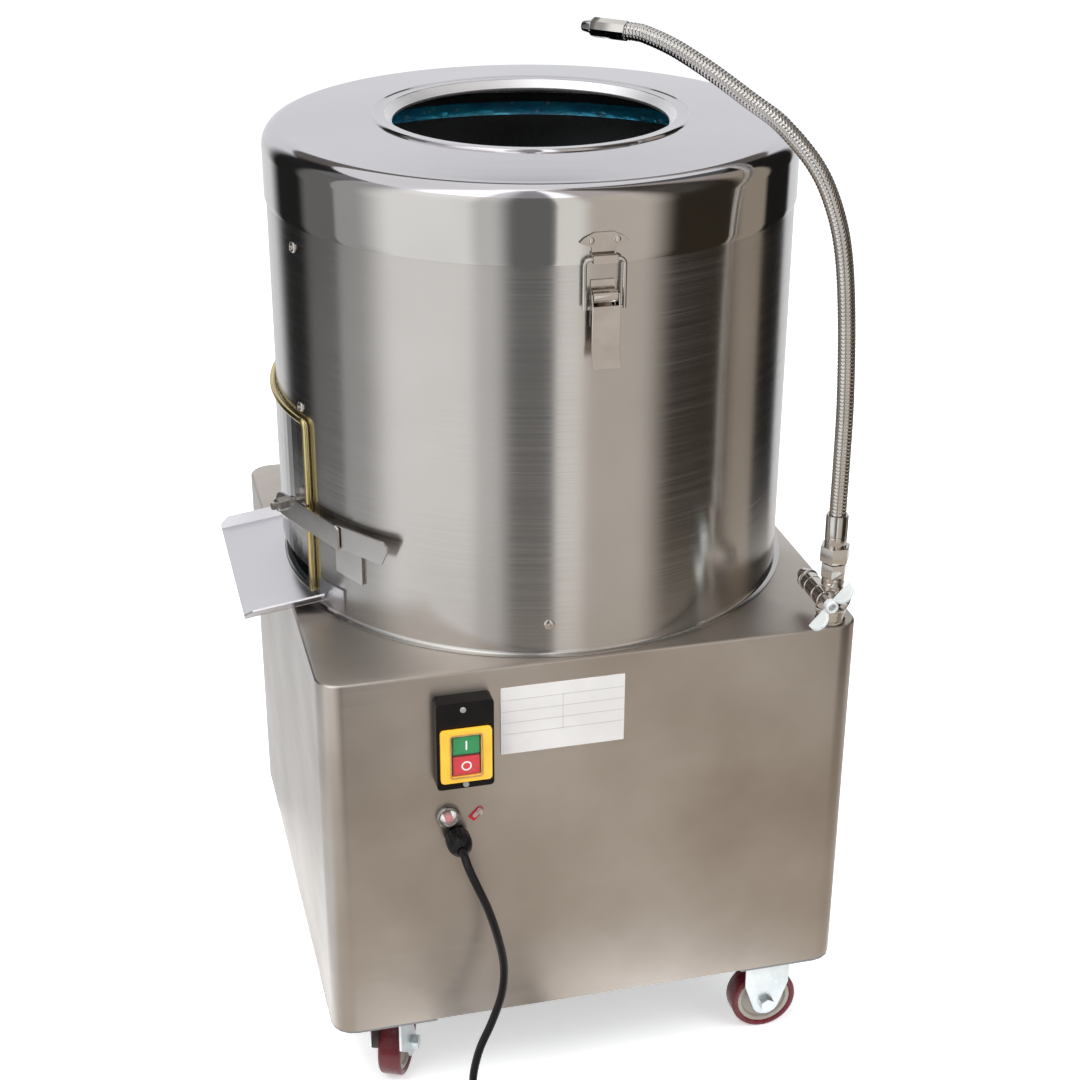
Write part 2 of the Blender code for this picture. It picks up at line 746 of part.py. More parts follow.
def build_base_frame():
    """Rail ring, corner plates for the casters, posts and the motor shelf, welded together."""
    half = inner_half - gap
    low = corner_plate_top - corner_plate_thickness / 2
    high = ground_clearance + rail_height
    ring = block("base_frame", (2 * half, 2 * half, high - low), (0, 0, (low + high) / 2), mild_steel,
                 corner=cabinet_corner_radius - cabinet_sheet, segments=4)
    inside = 2 * (half - rail_width)
    cut(ring, block("cut_ring", (inside, inside, high - low + 2 * cut_overrun), (0, 0, (low + high) / 2)))
    middle = half_cabinet - corner_plate_reach / 2
    for x_side in (-1, 1):
        for y_side in (-1, 1):
            reach = corner_plate_reach
            bend = cabinet_corner_radius
            loop = [(-reach / 2, -reach / 2), (reach / 2, -reach / 2)]
            loop += arc((reach / 2 - bend, reach / 2 - bend), bend, 0, 90, 5)
            loop += [(-reach / 2, reach / 2)]
            side = Vector((x_side, 0, 0)) if x_side * y_side > 0 else Vector((0, y_side, 0))
            up = Vector((0, y_side, 0)) if x_side * y_side > 0 else Vector((x_side, 0, 0))
            place = (x_side * middle, y_side * middle, (corner_plate_top + corner_plate_bottom) / 2)
            fuse(ring, prism("corner_plate", [loop], corner_plate_thickness, frame_matrix(place, side, up)))
    post_top = shelf_height - shelf_thickness / 2
    post_low = high - rail_height / 2
    post_middle = half - rail_width / 2
    size = (post_width, post_width, post_top - post_low)
    for place in ((post_middle, motor_y - motor_radius), (post_middle, motor_y + motor_radius),
                  (motor_x - motor_radius, post_middle)):
        fuse(ring, block("post", size, (*place, (post_low + post_top) / 2)))
    left = motor_x - shelf_inner_reach
    near = motor_y - shelf_inner_reach
    far = post_middle + post_width / 2
    shelf = block("shelf", (far - left, far - near, shelf_thickness),
                  ((far + left) / 2, (far + near) / 2, shelf_height - shelf_thickness / 2),
                  corner=cabinet_corner_radius, segments=2)
    fuse(ring, shelf)
    hole_low = (motor_x, motor_y, shelf_height - shelf_thickness - cut_overrun)
    hole_high = (motor_x, motor_y, shelf_height + cut_overrun)
    cut(ring, rod("cut_spigot", motor_spigot_radius + gap, hole_low, hole_high, steps=small_steps))
    return ring


# Casters


def build_wheel(name, parent, centre, axle):
    """Moulded tyre on a stepped rim, bored for its axle."""
    half = wheel_width / 2
    inner = axle_radius + running_gap
    step = half - wheel_tread_crown
    outline = [
        (wheel_radius - wheel_tread_crown, half), (wheel_radius, step), (wheel_radius, -step),
        (wheel_radius - wheel_tread_crown, -half), (wheel_rim_radius, -step), (wheel_hub_radius, -half),
        (inner, -half), (inner, half), (wheel_hub_radius, half), (wheel_rim_radius, step),
    ]
    return turned(name, outline, centre, tread, parent, steps=small_steps, axis=axle)


def build_fork(name, parent, trail):
    """Two side plates, a crown and an axle; the object's frame has X along the wheel's travel."""
    half = wheel_width / 2 + fork_side_clearance
    span = 2 * (half + fork_sheet)
    crown_length = fork_top_width
    fork = block(name, (crown_length, span, fork_sheet), (0, 0, fork_crown_height + fork_sheet / 2), zinc, parent)
    top = fork_crown_height + fork_sheet / 2
    loop = [(-fork_top_width / 2, top), (-fork_top_width / 2, fork_shoulder_height)]
    loop += arc((trail, wheel_radius), fork_end_radius, 190, 350, 9)
    loop += [(fork_top_width / 2, fork_shoulder_height), (fork_top_width / 2, top)]
    for side in (-1, 1):
        place = (0, side * (half + fork_sheet / 2), 0)
        fuse(fork, prism("fork_side", [loop], fork_sheet, frame_matrix(place, (1, 0, 0), (0, 0, 1))))
    reach = half + fork_sheet + axle_nut_length
    axle_low = (trail, -reach + axle_nut_length / 2, wheel_radius)
    axle_high = (trail, reach - axle_nut_length / 2, wheel_radius)
    fuse(fork, rod("axle", axle_radius, axle_low, axle_high, steps=pin_steps))
    for side in (-1, 1):
        inner = (trail, side * (half + fork_sheet / 2), wheel_radius)
        outer = (trail, side * reach, wheel_radius)
        fuse(fork, rod("axle_nut", axle_nut_radius, inner, outer, steps=6))
    return fork


def build_fixed_caster(end, y_side):
    """Fork welded under its own plate, with its wheel."""
    stand = empty("caster_frame_" + end, (caster_x, y_side * caster_y, 0))
    fork = build_fork("caster_fork_" + end, stand, 0.0)
    rise = caster_plate_top - fork_crown_height - fork_sheet / 2
    middle = caster_plate_top - rise / 2
    fuse(fork, block("caster_neck", (fork_top_width, wheel_width, rise), (0, 0, middle)))
    plate = (caster_plate_length, caster_plate_width, caster_plate_thickness)
    fuse(fork, block("caster_top", plate, (0, 0, caster_plate_top - caster_plate_thickness / 2)))
    build_wheel("caster_wheel_" + end, stand, (0, 0, wheel_radius), (0, -1, 0))


def build_swivel_caster(end, y_side, heading):
    """Top plate, turning fork on its head and a trailing wheel."""
    stand = empty("caster_frame_" + end, (-caster_x, y_side * caster_y, 0))
    swivel = empty("swivel_frame_" + end, (0, 0, 0), heading, stand)
    plate = (caster_plate_length, caster_plate_width, caster_plate_thickness)
    block("caster_plate_" + end, plate, (0, 0, caster_plate_top - caster_plate_thickness / 2), zinc, stand)
    fork = build_fork("caster_fork_" + end, swivel, swivel_trail)
    head_low = (0, 0, fork_crown_height + fork_sheet / 2)
    fuse(fork, rod("swivel_head", swivel_head_radius, head_low, (0, 0, caster_plate_bottom - gap),
                   steps=middle_steps))
    build_wheel("caster_wheel_" + end, swivel, (swivel_trail, 0, wheel_radius), (0, -1, 0))


# Drum and what it holds


def doorway_cutter(name, inner_radius):
    """Block that opens the doorway through walls outside inner_radius."""
    depth = drum_radius + cut_overrun - inner_radius * math.cos(math.asin(doorway_width / 2 / inner_radius))
    depth += 2 * cut_overrun
    centre = (-(drum_radius + cut_overrun) + depth / 2, 0, doorway_bottom + doorway_height / 2)
    return block(name, (depth, doorway_width, doorway_height), centre, corner=doorway_corner_radius, corner_axis=0)


def build_drum():
    """Rolled wall with a welded foot, opened at the doorway."""
    inner = drum_radius - drum_wall
    foot = drum_radius + drum_flange_width
    bottom = cabinet_top + gap
    outline = [
        (drum_radius, drum_top_height), (drum_radius, bottom + drum_flange_height), (foot, bottom),
        (inner, bottom), (inner, drum_top_height),
    ]
    drum = turned("drum_shell", outline, (0, 0, 0), brushed)
    return cut(drum, doorway_cutter("cut_doorway_drum", inner))


def build_liner():
    """Grit-coated lining inside the wall."""
    outer = drum_radius - drum_wall - gap
    inner = outer - liner_thickness
    low = floor_plate_top + gap
    high = drum_top_height - liner_top_drop
    liner = turned("abrasive_liner", [(outer, high), (outer, low), (inner, low), (inner, high)], (0, 0, 0), grit)
    return cut(liner, doorway_cutter("cut_doorway_liner", inner))


def build_drum_floor():
    """Round floor on the cabinet top with the seal's seat and the drain hole."""
    radius = drum_radius - drum_wall - gap
    seat = seal_radius + gap
    outline = [(radius, floor_plate_top), (radius, floor_plate_bottom), (seat, floor_plate_bottom),
               (seat, floor_plate_top)]
    floor = turned("drum_floor", outline, (0, 0, 0), brushed)
    bore = drain_pipe_radius - drain_wall
    low = (0, drain_offset, floor_plate_bottom - cut_overrun)
    return cut(floor, rod("cut_floor_drain", bore, low, (0, drain_offset, floor_plate_top + cut_overrun)))


def build_drain():
    """Bent pipe from the drum floor out through the back of the cabinet."""
    top = floor_plate_bottom - gap
    bend = drain_bend_radius
    path = [(0, drain_offset, top)]
    corner = (drain_offset + bend, drain_outlet_height + bend)
    path += [(0, y, z) for y, z in arc(corner, bend, 180, 270, 5)]
    path += [(0, half_cabinet + drain_reach, drain_outlet_height)]
    pipe = tube("drain_pipe", path, drain_pipe_radius, pipe_grey, resolution=2, mesh=True)
    bore_path = [(0, drain_offset, top + cut_overrun)] + path[1:-1]
    bore_path += [(0, half_cabinet + drain_reach + cut_overrun, drain_outlet_height)]
    return cut(pipe, tube("cut_drain_bore", bore_path, drain_pipe_radius - drain_wall, resolution=2, mesh=True))


# Turntable and drive


def build_turntable():
    """Wavy grit disc on a hub, with the shaft and its cap nut."""
    bore = shaft_radius + gap
    hub_low = disc_bottom - disc_hub_length
    outline = [(disc_radius, disc_top), (disc_radius, disc_bottom), (disc_hub_radius, disc_bottom),
               (disc_hub_radius, hub_low), (bore, hub_low), (bore, disc_top)]
    disc = turned("turntable_disc", outline, (0, 0, 0), grit)
    middle = (ridge_inner_radius + ridge_outer_radius) / 2
    base = disc_bottom + disc_thickness / 2
    rise = disc_top + ridge_height - base
    wave = [(ridge_half_width * math.cos(a), rise * math.sin(a)) for a in
            (math.pi * i / 6 for i in range(7))]
    for i in range(ridge_count):
        turn = 360 * i / ridge_count + 180 / ridge_count
        out = around(1.0, turn, 0)
        side = Vector((0, 0, 1)).cross(out)
        place = out * middle + Vector((0, 0, base))
        length = ridge_outer_radius - ridge_inner_radius
        fuse(disc, prism("ridge", [wave], length, frame_matrix(place, side, (0, 0, 1))))
    nut_low = disc_top + gap
    foot = belt_height - driven_hub_height / 2
    shaft = [(0, nut_low + cap_nut_height), (cap_nut_radius * 0.6, nut_low + cap_nut_height * 0.85),
             (cap_nut_radius, nut_low + cap_nut_height / 2), (cap_nut_radius, nut_low), (shaft_radius, nut_low),
             (shaft_radius, foot), (0, foot)]
    turned("main_shaft", shaft, (0, 0, 0), ground_steel, closed=False, steps=middle_steps)


def build_bearings():
    """Flanged housing under the drum floor with two bearings and the shaft's seal."""
    top = floor_plate_bottom - gap
    low = top - housing_length
    seat = bearing_radius + gap
    outline = [(housing_flange_radius, top), (housing_flange_radius, top - housing_flange_thickness),
               (housing_body_radius, top - housing_flange_thickness), (housing_body_radius, low),
               (seat - housing_lip, low), (seat - housing_lip, low + housing_lip), (seat, low + housing_lip),
               (seat, top)]
    turned("bearing_housing", outline, (0, 0, 0), cast, steps=middle_steps)
    bore = shaft_radius + gap
    first = top - bearing_top_drop
    for name, high in (("upper_bearing", first), ("lower_bearing", first - bearing_spacing)):
        ring = [(bearing_radius, high), (bearing_radius, high - bearing_width), (bore, high - bearing_width),
                (bore, high)]
        turned(name, ring, (0, 0, 0), ground_steel, steps=middle_steps)
    seal_low = first + gap
    ring = [(seal_radius, seal_low + seal_height), (seal_radius, seal_low), (bore, seal_low),
            (bore, seal_low + seal_height)]
    turned("shaft_seal", ring, (0, 0, 0), rubber, steps=middle_steps)


def pulley_outline(radius, bore, hub_radius, hub_height):
    """Grooved rim, web and hub as seen in section."""
    rim = pulley_rim_height / 2
    groove = pulley_groove_floor / 2
    web = pulley_web / 2
    inner = radius - pulley_groove_depth - pulley_rim_wall
    hub = hub_height / 2
    return [
        (radius, rim), (radius - pulley_groove_depth, groove), (radius - pulley_groove_depth, -groove),
        (radius, -rim), (inner, -rim), (inner, -web),
        (hub_radius, -web), (hub_radius, -hub), (bore, -hub), (bore, hub), (hub_radius, hub), (hub_radius, web),
        (inner, web), (inner, rim),
    ]


def build_drive():
    """Pulleys, belt and motor."""
    place = (0, 0, belt_height)
    outline = pulley_outline(driven_pulley_radius, shaft_radius + gap, disc_hub_radius, driven_hub_height)
    turned("driven_pulley", outline, place, cast, steps=middle_steps)
    motor_place = (motor_x, motor_y, belt_height)
    rim = pulley_rim_height / 2
    groove = pulley_groove_floor / 2
    low = shelf_height + motor_spigot_height + gap - belt_height
    root_radius = motor_pulley_radius - pulley_groove_depth
    outline = [
        (0, rim + motor_spigot_height), (motor_shaft_radius, rim + motor_spigot_height), (motor_shaft_radius, rim),
        (motor_pulley_radius, rim), (root_radius, groove), (root_radius, -groove), (motor_pulley_radius, -rim),
        (motor_shaft_radius, -rim), (motor_shaft_radius, low), (0, low),
    ]
    turned("motor_pulley", outline, motor_place, ground_steel, steps=small_steps, closed=False)
    build_belt()
    build_motor()


def belt_loop(extra):
    """Outline round both pulleys, extra outside the groove floors."""
    large = driven_pulley_radius - pulley_groove_depth + extra
    small = motor_pulley_radius - pulley_groove_depth + extra
    distance = math.hypot(motor_x, motor_y)
    heading = math.degrees(math.atan2(motor_y, motor_x))
    lean = math.degrees(math.acos((large - small) / distance))
    loop = arc((motor_x, motor_y), small, heading - lean, heading + lean, 10)
    loop += arc((0, 0), large, heading + lean, heading - lean + 360, 30)
    return loop


def build_belt():
    """Belt that lies in both grooves."""
    loops = [belt_loop(running_gap + belt_thickness), belt_loop(running_gap)]
    matrix = Matrix.Translation((0, 0, belt_low + belt_width / 2))
    prism("drive_belt", loops, belt_width, matrix, rubber)


def build_motor():
    """Upright motor hung under its shelf by its flange."""
    top = shelf_height + motor_spigot_height
    flange_top = shelf_height - shelf_thickness - gap
    flange_low = flange_top - motor_flange_thickness
    low = motor_low
    cover = low + motor_fan_cover_height
    wide = motor_radius + motor_fan_cover_step
    outline = [
        (0, top), (motor_spigot_radius, top), (motor_spigot_radius, flange_top), (motor_flange_radius, flange_top),
        (motor_flange_radius, flange_low), (motor_radius, flange_low - motor_fan_cover_step),
        (motor_radius, cover), (wide, cover), (wide, low), (0, low),
    ]
    motor = turned("motor", outline, (motor_x, motor_y, 0), motor_paint, steps=small_steps, closed=False)
    depth = terminal_box_depth + motor_radius / 2
    centre = (motor_x - motor_radius - terminal_box_depth + depth / 2, motor_y, (cover + flange_low) / 2)
    return fuse(motor, block("terminal_box", (depth, terminal_box_width, terminal_box_height), centre))


# Lid and latches


def lid_shoulder():
    """Outer line of the lid's rounded edge."""
    centre = (lid_outer_radius - lid_shoulder_radius, lid_edge_height - lid_shoulder_radius)
    return arc(centre, lid_shoulder_radius, 90, 0, 4)


def lid_underside(radius):
    """Height that stays a gap under the lid's rounded edge."""
    line = lid_shoulder()
    heights = []
    for (near, high), (far, low) in zip(line, line[1:]):
        slope = (low - high) / (far - near)
        heights.append(high + slope * (radius - near) - (lid_wall + gap) * math.hypot(1, slope))
    return min(heights)


def lid_outline():
    """Outer line of the lid from the mouth's turned-down edge to the foot of the skirt."""
    lip = lid_mouth_lip_radius
    crest = lid_mouth_height - lid_bead_rise
    points = [
        (lid_mouth_radius, crest - lid_mouth_turn_down), (lid_mouth_radius, crest - lip),
        (lid_mouth_radius + lip, crest), (lid_bead_radius, lid_mouth_height),
        (lid_bead_radius + lid_bead_width, crest - lid_bead_rise / 4),
    ]
    points += lid_shoulder()
    points.append((lid_outer_radius, lid_seam))
    return points


def build_lid():
    """Pressed lid with a beaded mouth, and the gasket under it."""
    turned("lid_cover", lid_outline(), (0, 0, 0), polished, closed=False, wall=lid_wall)
    low = drum_top_height + gap
    outer = drum_radius - gap
    inner = outer - gasket_width
    upper = [(radius, lid_underside(radius)) for radius in (inner, (inner + outer) / 2, outer)]
    turned("lid_gasket", [*upper, (outer, low), (inner, low)], (0, 0, 0), rubber)


def build_latch(side, turn):
    """One toggle latch; its frame has the drum axis as origin and -Y outward."""
    stand = empty("latch_frame_" + side, (0, 0, 0), turn)
    build_latch_keeper(side, stand)
    build_latch_bail(side, stand)
    build_latch_base(side, stand)
    build_latch_lever(side, stand)


def build_latch_keeper(side, stand):
    """Fan-shaped plate on the skirt with an upturned hook."""
    face = lid_outer_radius + gap
    sheet = latch_plate_sheet
    tip = lid_seam + latch_plate_tip_above_seam
    top = lid_seam + latch_plate_top_above_seam
    foot = lid_seam + latch_hook_foot_above_seam
    wide = latch_plate_half_width
    neck = latch_neck_half_width
    loop = [(neck, foot), (neck, tip - (tip - foot) / 4), (wide, tip), (wide * 0.8, tip + (top - tip) / 2),
            (wide * 0.4, top), (-wide * 0.4, top), (-wide * 0.8, tip + (top - tip) / 2), (-wide, tip),
            (-neck, tip - (tip - foot) / 4), (-neck, foot)]
    place = (0, -(face + sheet / 2), 0)
    keeper = prism(side + "_latch_keeper", [loop], sheet, frame_matrix(place, (1, 0, 0), (0, 0, 1)), nickel, stand)
    inner = face + sheet / 2
    outer = face + sheet + latch_hook_reach
    hook = [(-inner, foot), (-outer, foot), (-outer, foot + latch_hook_height),
            (-outer + sheet, foot + latch_hook_height), (-outer + sheet, foot + sheet), (-inner, foot + sheet)]
    return fuse(keeper, prism("hook", [hook], 2 * neck, frame_matrix((0, 0, 0), (0, 1, 0), (0, 0, 1)), None, stand))


def bail_axis():
    """Distance out from the drum axis and height of the bail's bar in its hook."""
    out = lid_outer_radius + gap + latch_plate_sheet + latch_hook_reach / 2
    return out, lid_seam + latch_hook_foot_above_seam + latch_plate_sheet + gap + bail_wire_radius


def build_latch_bail(side, stand):
    """Bent wire whose bar lies in the hook and whose legs run down beside the lever."""
    out, high = bail_axis()
    carrier = empty(side + "_bail_axis", (0, -out, high), 0.0, stand)
    bend = bail_corner_radius
    half = bail_half_width
    points = [(-half, 0, -bail_length)]
    points += [(x, 0, z) for x, z in arc((-half + bend, -bend), bend, 180, 90, 4)]
    points += [(x, 0, z) for x, z in arc((half - bend, -bend), bend, 90, 0, 4)]
    points += [(half, 0, -bail_length)]
    return tube(side + "_latch_bail", points, bail_wire_radius, nickel, carrier)


def latch_pivot():
    """Distance out from the drum axis and height of the latch lever's pivot."""
    return drum_radius + pivot_stand_off, lid_seam - pivot_drop


def build_latch_base(side, stand):
    """Plate on the drum with the barrel and pin that carry the lever."""
    out, high = latch_pivot()
    face = drum_radius + gap
    sheet = latch_plate_sheet
    top = high + base_plate_top_above_pivot
    centre = (0, -(face + sheet / 2), top - base_plate_height / 2)
    base = block(side + "_latch_base", (2 * barrel_half_length, sheet, base_plate_height), centre, nickel, stand)
    ends = barrel_half_length + running_gap + lever_cheek_sheet
    fuse(base,
         rod("barrel", barrel_radius, (-barrel_half_length, -out, high), (barrel_half_length, -out, high), None,
             stand),
         rod("pin", latch_pin_radius, (-ends, -out, high), (ends, -out, high), None, stand, steps=pin_steps))
    return base


def build_latch_lever(side, stand):
    """Pressed lever with two cheeks round the pin and a flared tip."""
    out, high = latch_pivot()
    carrier = empty(side + "_lever_axis", (0, -out, high), 0.0, stand)
    inner = lever_plate_stand_off
    outer = inner + lever_plate_sheet
    low = -lever_plate_drop - lever_plate_length
    tip = low - lever_tip_length
    flare = lever_tip_flare
    section = [(-inner, -lever_plate_drop), (-outer, -lever_plate_drop), (-outer, low),
               (-outer - flare, tip), (-outer - flare + lever_plate_sheet, tip), (-inner, low)]
    cheek_inner = barrel_half_length + running_gap
    half = cheek_inner + lever_cheek_sheet
    upright = frame_matrix((0, 0, 0), (0, 1, 0), (0, 0, 1))
    lever = prism(side + "_latch_lever", [section], 2 * half, upright, nickel, carrier)
    bend = lever_cheek_radius
    cheek = arc((0, 0), bend, 0, 180, 6)
    cheek += [(-outer, -lever_plate_drop), (-outer, -lever_cheek_drop), (bend, -lever_cheek_drop)]
    hole = arc((0, 0), latch_pin_radius + gap, 360, 0, pin_steps + 1)[:-1]
    for way in (-1, 1):
        place = (way * (cheek_inner + lever_cheek_sheet / 2), 0, 0)
        matrix = frame_matrix(place, (0, 1, 0), (0, 0, 1))
        fuse(lever, prism("cheek", [cheek, hole], lever_cheek_sheet, matrix, None, carrier))
        start = (way * (cheek_inner + lever_cheek_sheet / 2), -bail_pin_stand_off, -bail_pin_drop)
        end = (way * (bail_half_width - bail_wire_radius - running_gap), -bail_pin_stand_off, -bail_pin_drop)
        fuse(lever, rod("bail_pin", bail_pin_radius, start, end, None, carrier, steps=8))
    return lever


# Discharge door, lever and tray


def lever_axes():
    """Unit vectors of the door lever: along its bar and square out of it."""
    out = around(1.0, lever_plane_angle, 0)
    along = Vector((0, 0, 1)).cross(out)
    return along, out


def lever_pivot_point():
    """Where the lever's bolt crosses the middle of its bar."""
    along, out = lever_axes()
    rod_side = math.radians(lever_plane_angle - rod_angle)
    inner = (rod_centre_radius + rod_radius) * math.cos(rod_side) + lever_rod_clearance
    plane = inner + lever_bar_thickness / 2
    back = plane * math.tan(math.radians(lever_plane_angle - lever_pivot_angle))
    return out * plane - along * back + Vector((0, 0, lever_z))


def build_door():
    """Curved door with its knuckle, bored for the lever's bolt."""
    axis_place = around(hinge_axis_radius, hinge_angle, 0)
    carrier = empty("door_axis", axis_place)
    door = sector("discharge_door", door_inner_radius, door_outer_radius, 180 - door_half_angle,
                  180 + door_half_angle, door_bottom, door_top, brushed, carrier, 13, axis_place)
    half = hinge_height * hinge_moving_share / 2
    tab = sector("door_tab", door_inner_radius, door_outer_radius, hinge_angle, 180 - door_half_angle + 0.1,
                 hinge_middle - half, hinge_middle + half, None, carrier, 3, axis_place)
    low = (0, 0, hinge_middle - half)
    high = (0, 0, hinge_middle + half)
    fuse(door, tab, rod("door_knuckle", hinge_knuckle_radius, low, high, None, carrier))
    over = Vector((0, 0, cut_overrun))
    hole = rod("cut_knuckle", hinge_pin_radius + running_gap, Vector(low) - over, Vector(high) + over, None,
               carrier, steps=pin_steps)
    _, out = lever_axes()
    pivot = lever_pivot_point() - axis_place
    reach = lever_nut_length + 2 * cut_overrun
    bolt_hole = rod("cut_bolt", lever_bolt_radius + running_gap, pivot - out * (reach + cut_overrun), pivot, None,
                    carrier)
    cut(door, hole, bolt_hole)


def build_door_hinge():
    """Drum side of the hinge: leaf, two knuckles and the pin."""
    half = hinge_height / 2
    moving = half * hinge_moving_share + gap
    clear = math.degrees((hinge_knuckle_radius + running_gap) / hinge_axis_radius)
    leaf = sector("door_hinge", door_inner_radius, door_outer_radius, hinge_angle - hinge_leaf_angle,
                  hinge_angle - clear, hinge_middle - half, hinge_middle + half, brushed, count=4)
    for low, high in ((-half, -moving), (moving, half)):
        start = around(hinge_axis_radius, hinge_angle, hinge_middle + low)
        end = around(hinge_axis_radius, hinge_angle, hinge_middle + high)
        strip = sector("leaf_tab", door_inner_radius, door_outer_radius, hinge_angle - clear - 0.1, hinge_angle,
                       hinge_middle + low, hinge_middle + high, count=3)
        fuse(leaf, strip, rod("fixed_knuckle", hinge_knuckle_radius, start, end))
    start = around(hinge_axis_radius, hinge_angle, hinge_middle - moving - running_gap)
    end = around(hinge_axis_radius, hinge_angle, hinge_middle + moving + running_gap)
    return fuse(leaf, rod("hinge_pin", hinge_pin_radius, start, end, steps=pin_steps))


def build_door_lever():
    """Two-part flat lever on its bolt; the bar lies along the drum and the grip leans in."""
    along, out = lever_axes()
    pivot = lever_pivot_point()
    carrier = empty("lever_axis", pivot)
    round_end = lever_bar_depth / 2
    bar_loop = arc((0, 0), round_end, 90, 270, 9)
    bar_loop += [(lever_bar_length, -round_end), (lever_bar_length, round_end * 0.8),
                 (lever_bar_length - round_end * 0.4, round_end)]
    lever = prism("door_lever", [bar_loop], lever_bar_thickness, frame_matrix((0, 0, 0), along, (0, 0, 1)), brushed,
                  carrier)
    tilt = math.radians(lever_grip_tilt)
    lean = along * math.cos(tilt) - out * math.sin(tilt)
    root_point = along * (lever_bar_length - lever_grip_overlap) - out * (lever_bar_thickness * 0.95)
    tip_radius = lever_bar_depth * 0.35
    grip = [(0, -round_end), (lever_grip_length - tip_radius, -round_end)]
    grip += arc((lever_grip_length - tip_radius, round_end - tip_radius), tip_radius, 0, 90, 5)
    grip += [(0, round_end)]
    fuse(lever, prism("grip", [grip], lever_bar_thickness, frame_matrix(root_point, lean, (0, 0, 1)), None, carrier))
    seat = out * (lever_bar_thickness / 2)
    head_end = seat + out * lever_bolt_head_length
    flat = (pivot - Vector((0, 0, lever_z)))
    beside = abs(flat.dot(along))
    slope = (lever_spacer_radius + gap) * math.tan(math.radians(lever_plane_angle - lever_pivot_angle + 1.0))
    door_face = math.sqrt(door_outer_radius ** 2 - beside ** 2) - flat.dot(out)
    door_back = math.sqrt(door_inner_radius ** 2 - beside ** 2) - flat.dot(out)
    spacer_end = out * (door_face + slope + gap)
    nut_start = out * (door_back - slope - gap)
    nut_end = nut_start - out * lever_nut_length
    return fuse(
        lever,
        rod("bolt_head", lever_bolt_head_radius, seat * 0.5, seat + out * (lever_bolt_head_length / 2), None,
            carrier, steps=6),
        rod("bolt_end", lever_bolt_radius, seat, head_end, None, carrier, steps=pin_steps),
        rod("spacer", lever_spacer_radius, seat * -0.5, spacer_end, None, carrier, steps=pin_steps),
        rod("shank", lever_bolt_radius, seat * -1, nut_start - out * gap * 2, None, carrier, steps=pin_steps),
        rod("inner_nut", lever_spacer_radius, nut_start, nut_end, None, carrier, steps=6),
    )


def build_keeper():
    """Bent plate welded to the drum behind the lever."""
    out = around(1.0, keeper_angle, 0)
    along = Vector((0, 0, 1)).cross(out)
    inner = drum_radius + keeper_stand_off
    high = lever_z - lever_bar_depth / 2 + keeper_lever_overlap
    middle = high - keeper_height / 2
    place = out * (inner + keeper_sheet / 2) + Vector((0, 0, middle))
    half = keeper_width / 2
    top = keeper_height / 2
    face = [(-half, -top * 0.8), (half, -top), (half, top), (-half, top)]
    keeper = prism("door_keeper", [face], keeper_sheet, frame_matrix(place, along, (0, 0, 1)), brushed)
    drum_face = math.sqrt((drum_radius + gap) ** 2 - half ** 2)
    weld_depth = inner + keeper_sheet / 2 - drum_face
    weld_place = out * (drum_face + weld_depth / 2) + along * (half - keeper_sheet / 2) + Vector((0, 0, middle))
    edge = [(-keeper_sheet / 2, -weld_depth / 2), (keeper_sheet / 2, -weld_depth / 2),
            (keeper_sheet / 2, weld_depth / 2), (-keeper_sheet / 2, weld_depth / 2)]
    matrix = frame_matrix(weld_place, along, out)
    return fuse(keeper, prism("weld_edge", [edge], keeper_height * 0.96, matrix))


def build_door_rod():
    """Round rod that frames the doorway's front edge and top."""
    foot = cabinet_top + rod_foot_rise
    bend = rod_bend_radius
    bend_angle = math.degrees(bend / rod_centre_radius)
    points = [around(rod_centre_radius, rod_angle, foot), around(rod_centre_radius, rod_angle, rod_top - bend)]
    points.append(around(rod_centre_radius, rod_angle - bend_angle * 0.3, rod_top - bend * 0.3))
    first = rod_angle - bend_angle
    last = hinge_angle
    points += [around(rod_centre_radius, first + (last - first) * i / 10, rod_top) for i in range(11)]
    return tube("door_frame_rod", points, rod_radius, yellow_zinc)


def build_tray():
    """Sloping chute round the drum with a leaning flange and a tab at each end."""
    half = tray_width / 2
    inner = drum_radius + gap
    slope = math.radians(tray_slope)
    swing = math.degrees(math.asin(half / inner))
    place = Vector((-inner, 0, cabinet_top + tray_rise + tray_sheet / 2))
    out = Vector((-math.cos(slope), 0, -math.sin(slope)))
    level = Vector((-math.sin(slope), 0, math.cos(slope)))
    edge = [((x - inner - gap) / math.cos(slope), y) for x, y in arc((0, 0), inner + gap, -swing, swing, 17)]
    reach = (tray_reach - inner) / math.cos(slope)
    edge += [(reach, half), (reach, -half)]
    edge = [(x + gap, y) for x, y in edge]
    tray = prism("discharge_tray", [edge], tray_sheet, frame_matrix(place, out, (0, 1, 0)), brushed)
    near = edge[0][0] + gap
    far = reach + gap
    bend = tray_corner_radius
    wall = [(near, 0), (near, tray_flange_width), (far - 1.6 * bend, tray_flange_width), (far, bend), (far, 0)]
    lean = math.radians(tray_flange_lean)
    tab_angle = math.degrees(tray_tab_reach / inner)
    tab_low = place.z - near * math.sin(slope) - tray_sheet / 2
    for way in (-1, 1):
        foot = place + Vector((0, way * (half - tray_sheet / 2), 0))
        rise = Vector((0, way * math.cos(lean), 0)) + level * math.sin(lean)
        fuse(tray, prism("tray_flange", [wall], tray_sheet, frame_matrix(foot, out, rise)))
        start = 180 - way * (swing - 1.5)
        end = 180 - way * (swing + tab_angle)
        fuse(tray, sector("tray_tab", inner, inner + tray_sheet, min(start, end), max(start, end), tab_low,
                          tab_low + tray_tab_height, count=6))
    return tray


# Front panel


